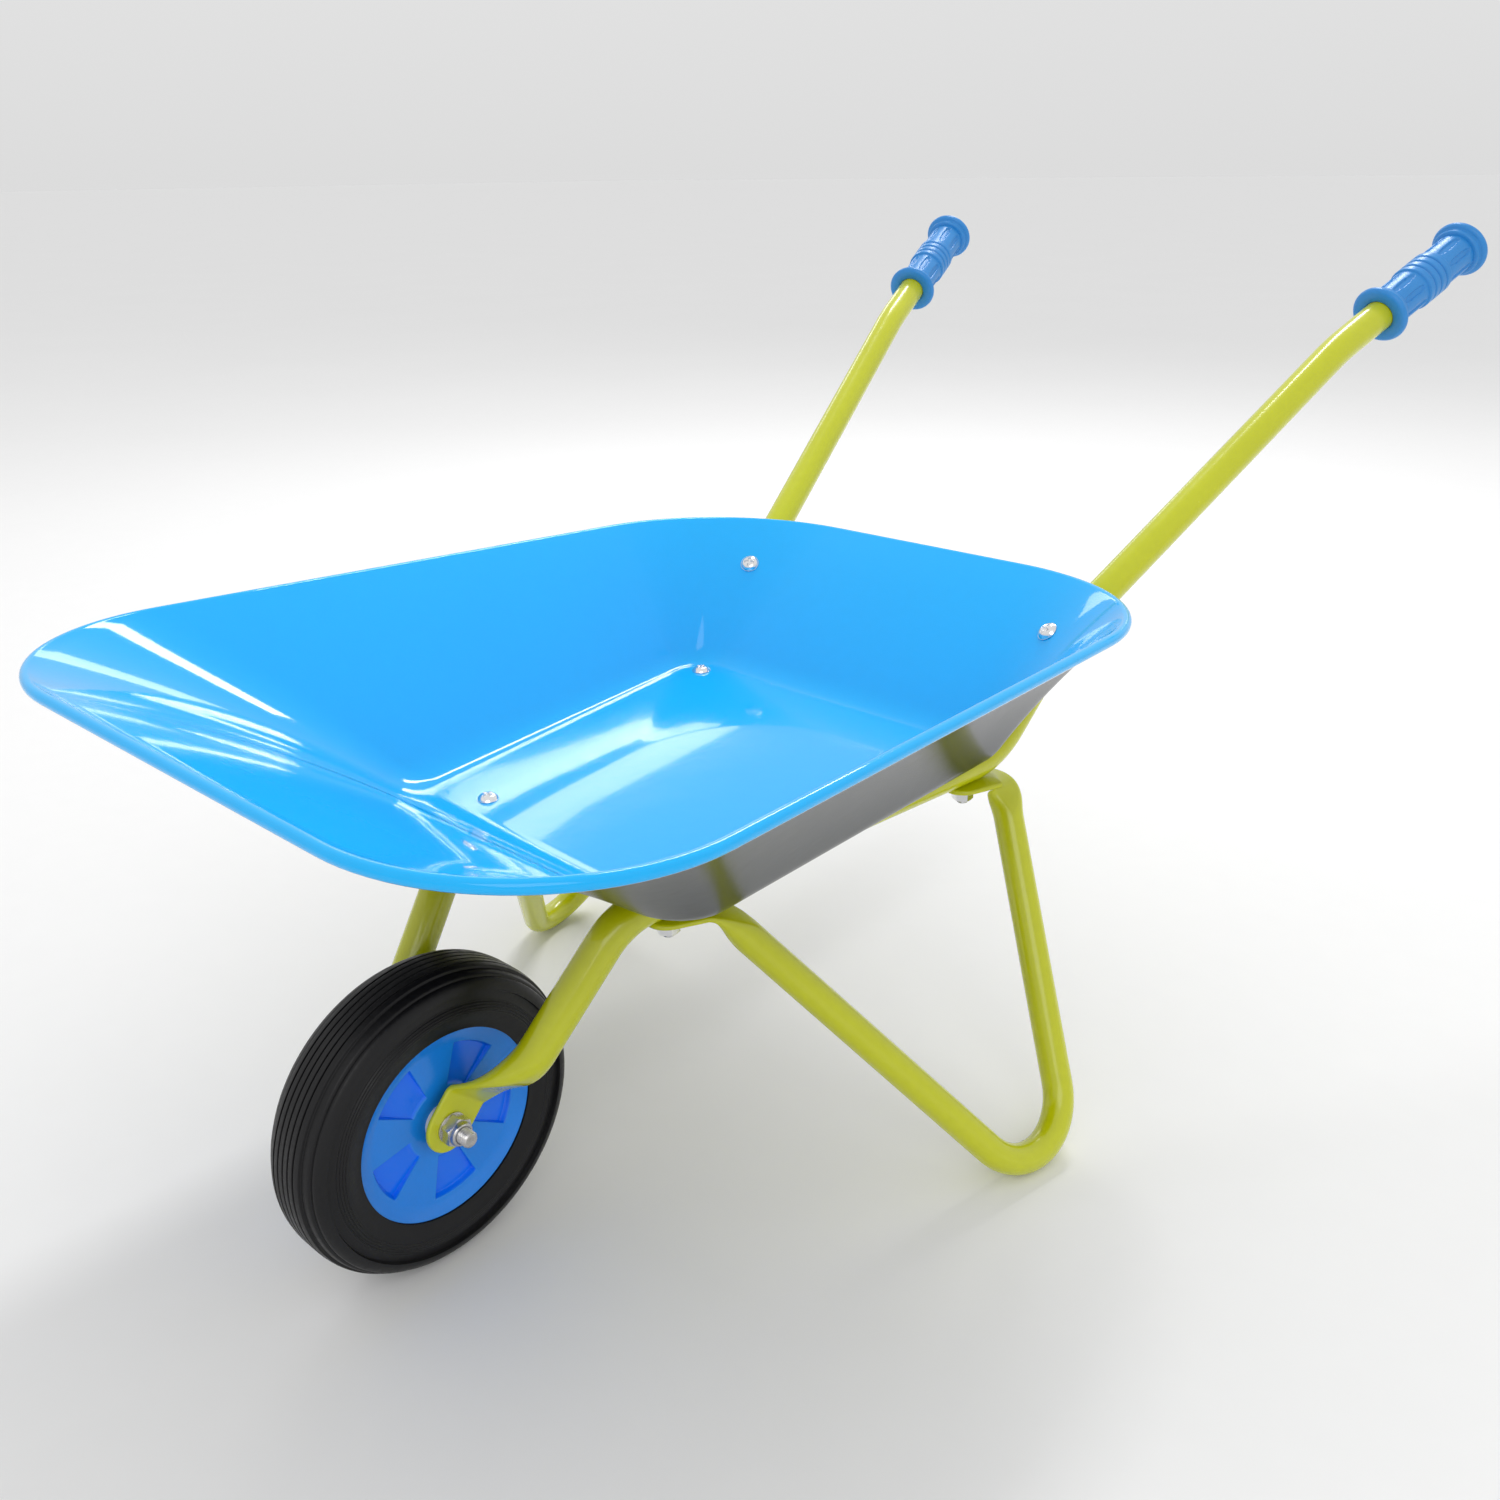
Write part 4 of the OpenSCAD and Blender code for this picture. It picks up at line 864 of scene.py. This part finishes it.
wall_lean = np.arcsin(abs(wall_up @ unit(unit(crook - wall_mid) + unit(wall_mid - drop_foot))))
floor_stack = sheet_t + tube_gap + 2 * tube_r + tab_t
past_tube = tube_r / np.cos(wall_lean) + washer_r * np.tan(wall_lean)
wall_stack = sheet_t + tube_gap + tube_r + past_tube + 2 * tube_gap
places = {
    "front_floor": (front_seat, floor_up, floor_stack),
    "rear_floor": (rear_seat, floor_up, floor_stack),
    "wall": (wall_seat, wall_up, wall_stack),
}
for place_name, (seat, up, stack) in places.items():
    bolt = set_down(pan_bolt(stack + washer_t + nut_h + thread_out), seat, up)
    shape = ring(bolt_r + hole_play, washer_r, 0.0, washer_t, 0.0002)
    washer = set_down(shape, seat - up * (stack + washer_t), up)
    nut = set_down(hex_nut(nut_flats, nut_h, bolt_r), seat - up * (stack + washer_t + nut_h), up)
    for kind, grid, closed, crease in (("bolts", bolt, False, 40), ("washers", washer, True, 35),
                                       ("nuts", nut, True, 25)):
        pair = np.array(list(both_sides(grid).values()))
        fit(skin(f"m6_{place_name}_{kind}", pair, closed, crease), "frame",
            [f"{place_name}_{kind}"], chrome)


# ---- The room: a plain pale floor, soft even light all round, and studio panels whose reflections
# draw the bright strips along the foot of the tray's wall and on its floor; then the camera.

floor_mesh = bpy.data.meshes.new("studio_floor")
reach = 60.0
floor_corners = [(-reach, -reach, 0), (reach, -reach, 0), (reach, reach, 0), (-reach, reach, 0)]
floor_mesh.from_pydata(floor_corners, [], [(0, 1, 2, 3)])
studio_floor = bpy.data.objects.new("studio_floor", floor_mesh)
bpy.context.scene.collection.objects.link(studio_floor)
paper, shade, shader = new_material("pale_paper", IOR=1.3, Specular_IOR_Level=0.1)
drifted(shade, shader, (0.84, 0.84, 0.84), 0.02, 3.0, 0.85)
floor_mesh.materials.append(paper)

world = bpy.data.worlds.new("soft_room")
world.use_nodes = True
room = Shade(world.node_tree)
sky_way = room.add("ShaderNodeTexCoord")
height = room.add("ShaderNodeSeparateXYZ", Vector=sky_way.outputs["Generated"])
tone = room.add("ShaderNodeMapRange", Value=height.outputs["Z"], From_Min=0.0, From_Max=0.5,
                To_Min=0.72, To_Max=0.88)
room.link(tone.outputs["Result"], world.node_tree.nodes["Background"].inputs["Strength"])
world.node_tree.nodes["Background"].inputs["Color"].default_value = (1.0, 1.0, 1.0, 1)
bpy.context.scene.world = world
bpy.context.scene.view_settings.view_transform = "Standard"


def panel(name, place, target, size, radiance, long_way=(0, 1, 0)):
    """A rectangular studio lamp that faces a point, its first side as near as can be to a given way. Its
    power is its radiance times pi times its area."""
    light = bpy.data.lights.new(name, "AREA")
    light.shape = "RECTANGLE"
    light.size, light.size_y = size
    light.energy = radiance * np.pi * size[0] * size[1]
    away = unit(np.asarray(place) - np.asarray(target))
    first = unit(np.asarray(long_way) - away * (away @ np.asarray(long_way)))
    axes = np.column_stack([first, np.cross(away, first), away])
    lamp = bpy.data.objects.new(name, light)
    lamp.matrix_world = Matrix.Translation(Vector(place)) @ Matrix(axes.tolist()).to_4x4()
    bpy.context.scene.collection.objects.link(lamp)


def mirrored(eye, spot, normal, distance):
    """The place that an eye sees reflected at a spot of a glossy surface: its sight line turned back about
    the normal, and followed for a distance."""
    sight = unit(np.asarray(spot) - np.asarray(eye))
    return np.asarray(spot) + (sight - 2 * (sight @ normal) * normal) * distance


azimuth, elevation, roll_angle = np.radians([43.6, 22.2, -0.7])
level = np.cos(elevation)
back = np.array([np.sin(azimuth) * level, -np.cos(azimuth) * level, np.sin(elevation)])
right = np.array([np.cos(azimuth), np.sin(azimuth), 0])
upwards = np.cross(back, right)
lens = bpy.data.cameras.new("camera")
lens.sensor_width, lens.lens = 36.0, 33.06
lens.shift_x, lens.shift_y = 0.048, -0.0115
lens.clip_start, lens.clip_end = 0.01, 200.0
camera = bpy.data.objects.new("camera", lens)
x_axis = np.cos(roll_angle) * right + np.sin(roll_angle) * upwards
y_axis = -np.sin(roll_angle) * right + np.cos(roll_angle) * upwards
eye = np.array([0.45039, -0.59568, 0.47950])
turned = Matrix(np.column_stack([x_axis, y_axis, back]).tolist()).to_4x4()
camera.matrix_world = Matrix.Translation(Vector(eye)) @ turned
bpy.context.scene.collection.objects.link(camera)
bpy.context.scene.camera = camera

# One lamp is mirrored in the fillet at the foot of the far wall, and a weaker one on the floor beside
# the far bolts; the third is a broad soft one from the front
fillet_spot, fillet_up = on_floor(-0.107, 0.185), unit([0.40, 0.0, 0.92])
panel("fillet_lamp", mirrored(eye, fillet_spot, fillet_up, 2.4), fillet_spot, (1.2, 0.30), 17)
floor_spot = on_floor(-0.068, 0.175)
panel("floor_lamp", mirrored(eye, floor_spot, floor_up, 1.9), floor_spot, (0.80, 0.20), 3.2)
panel("front_lamp", (2.2, -2.4, 2.4), (0, 0, 0.2), (2.2, 2.2), 1.6)
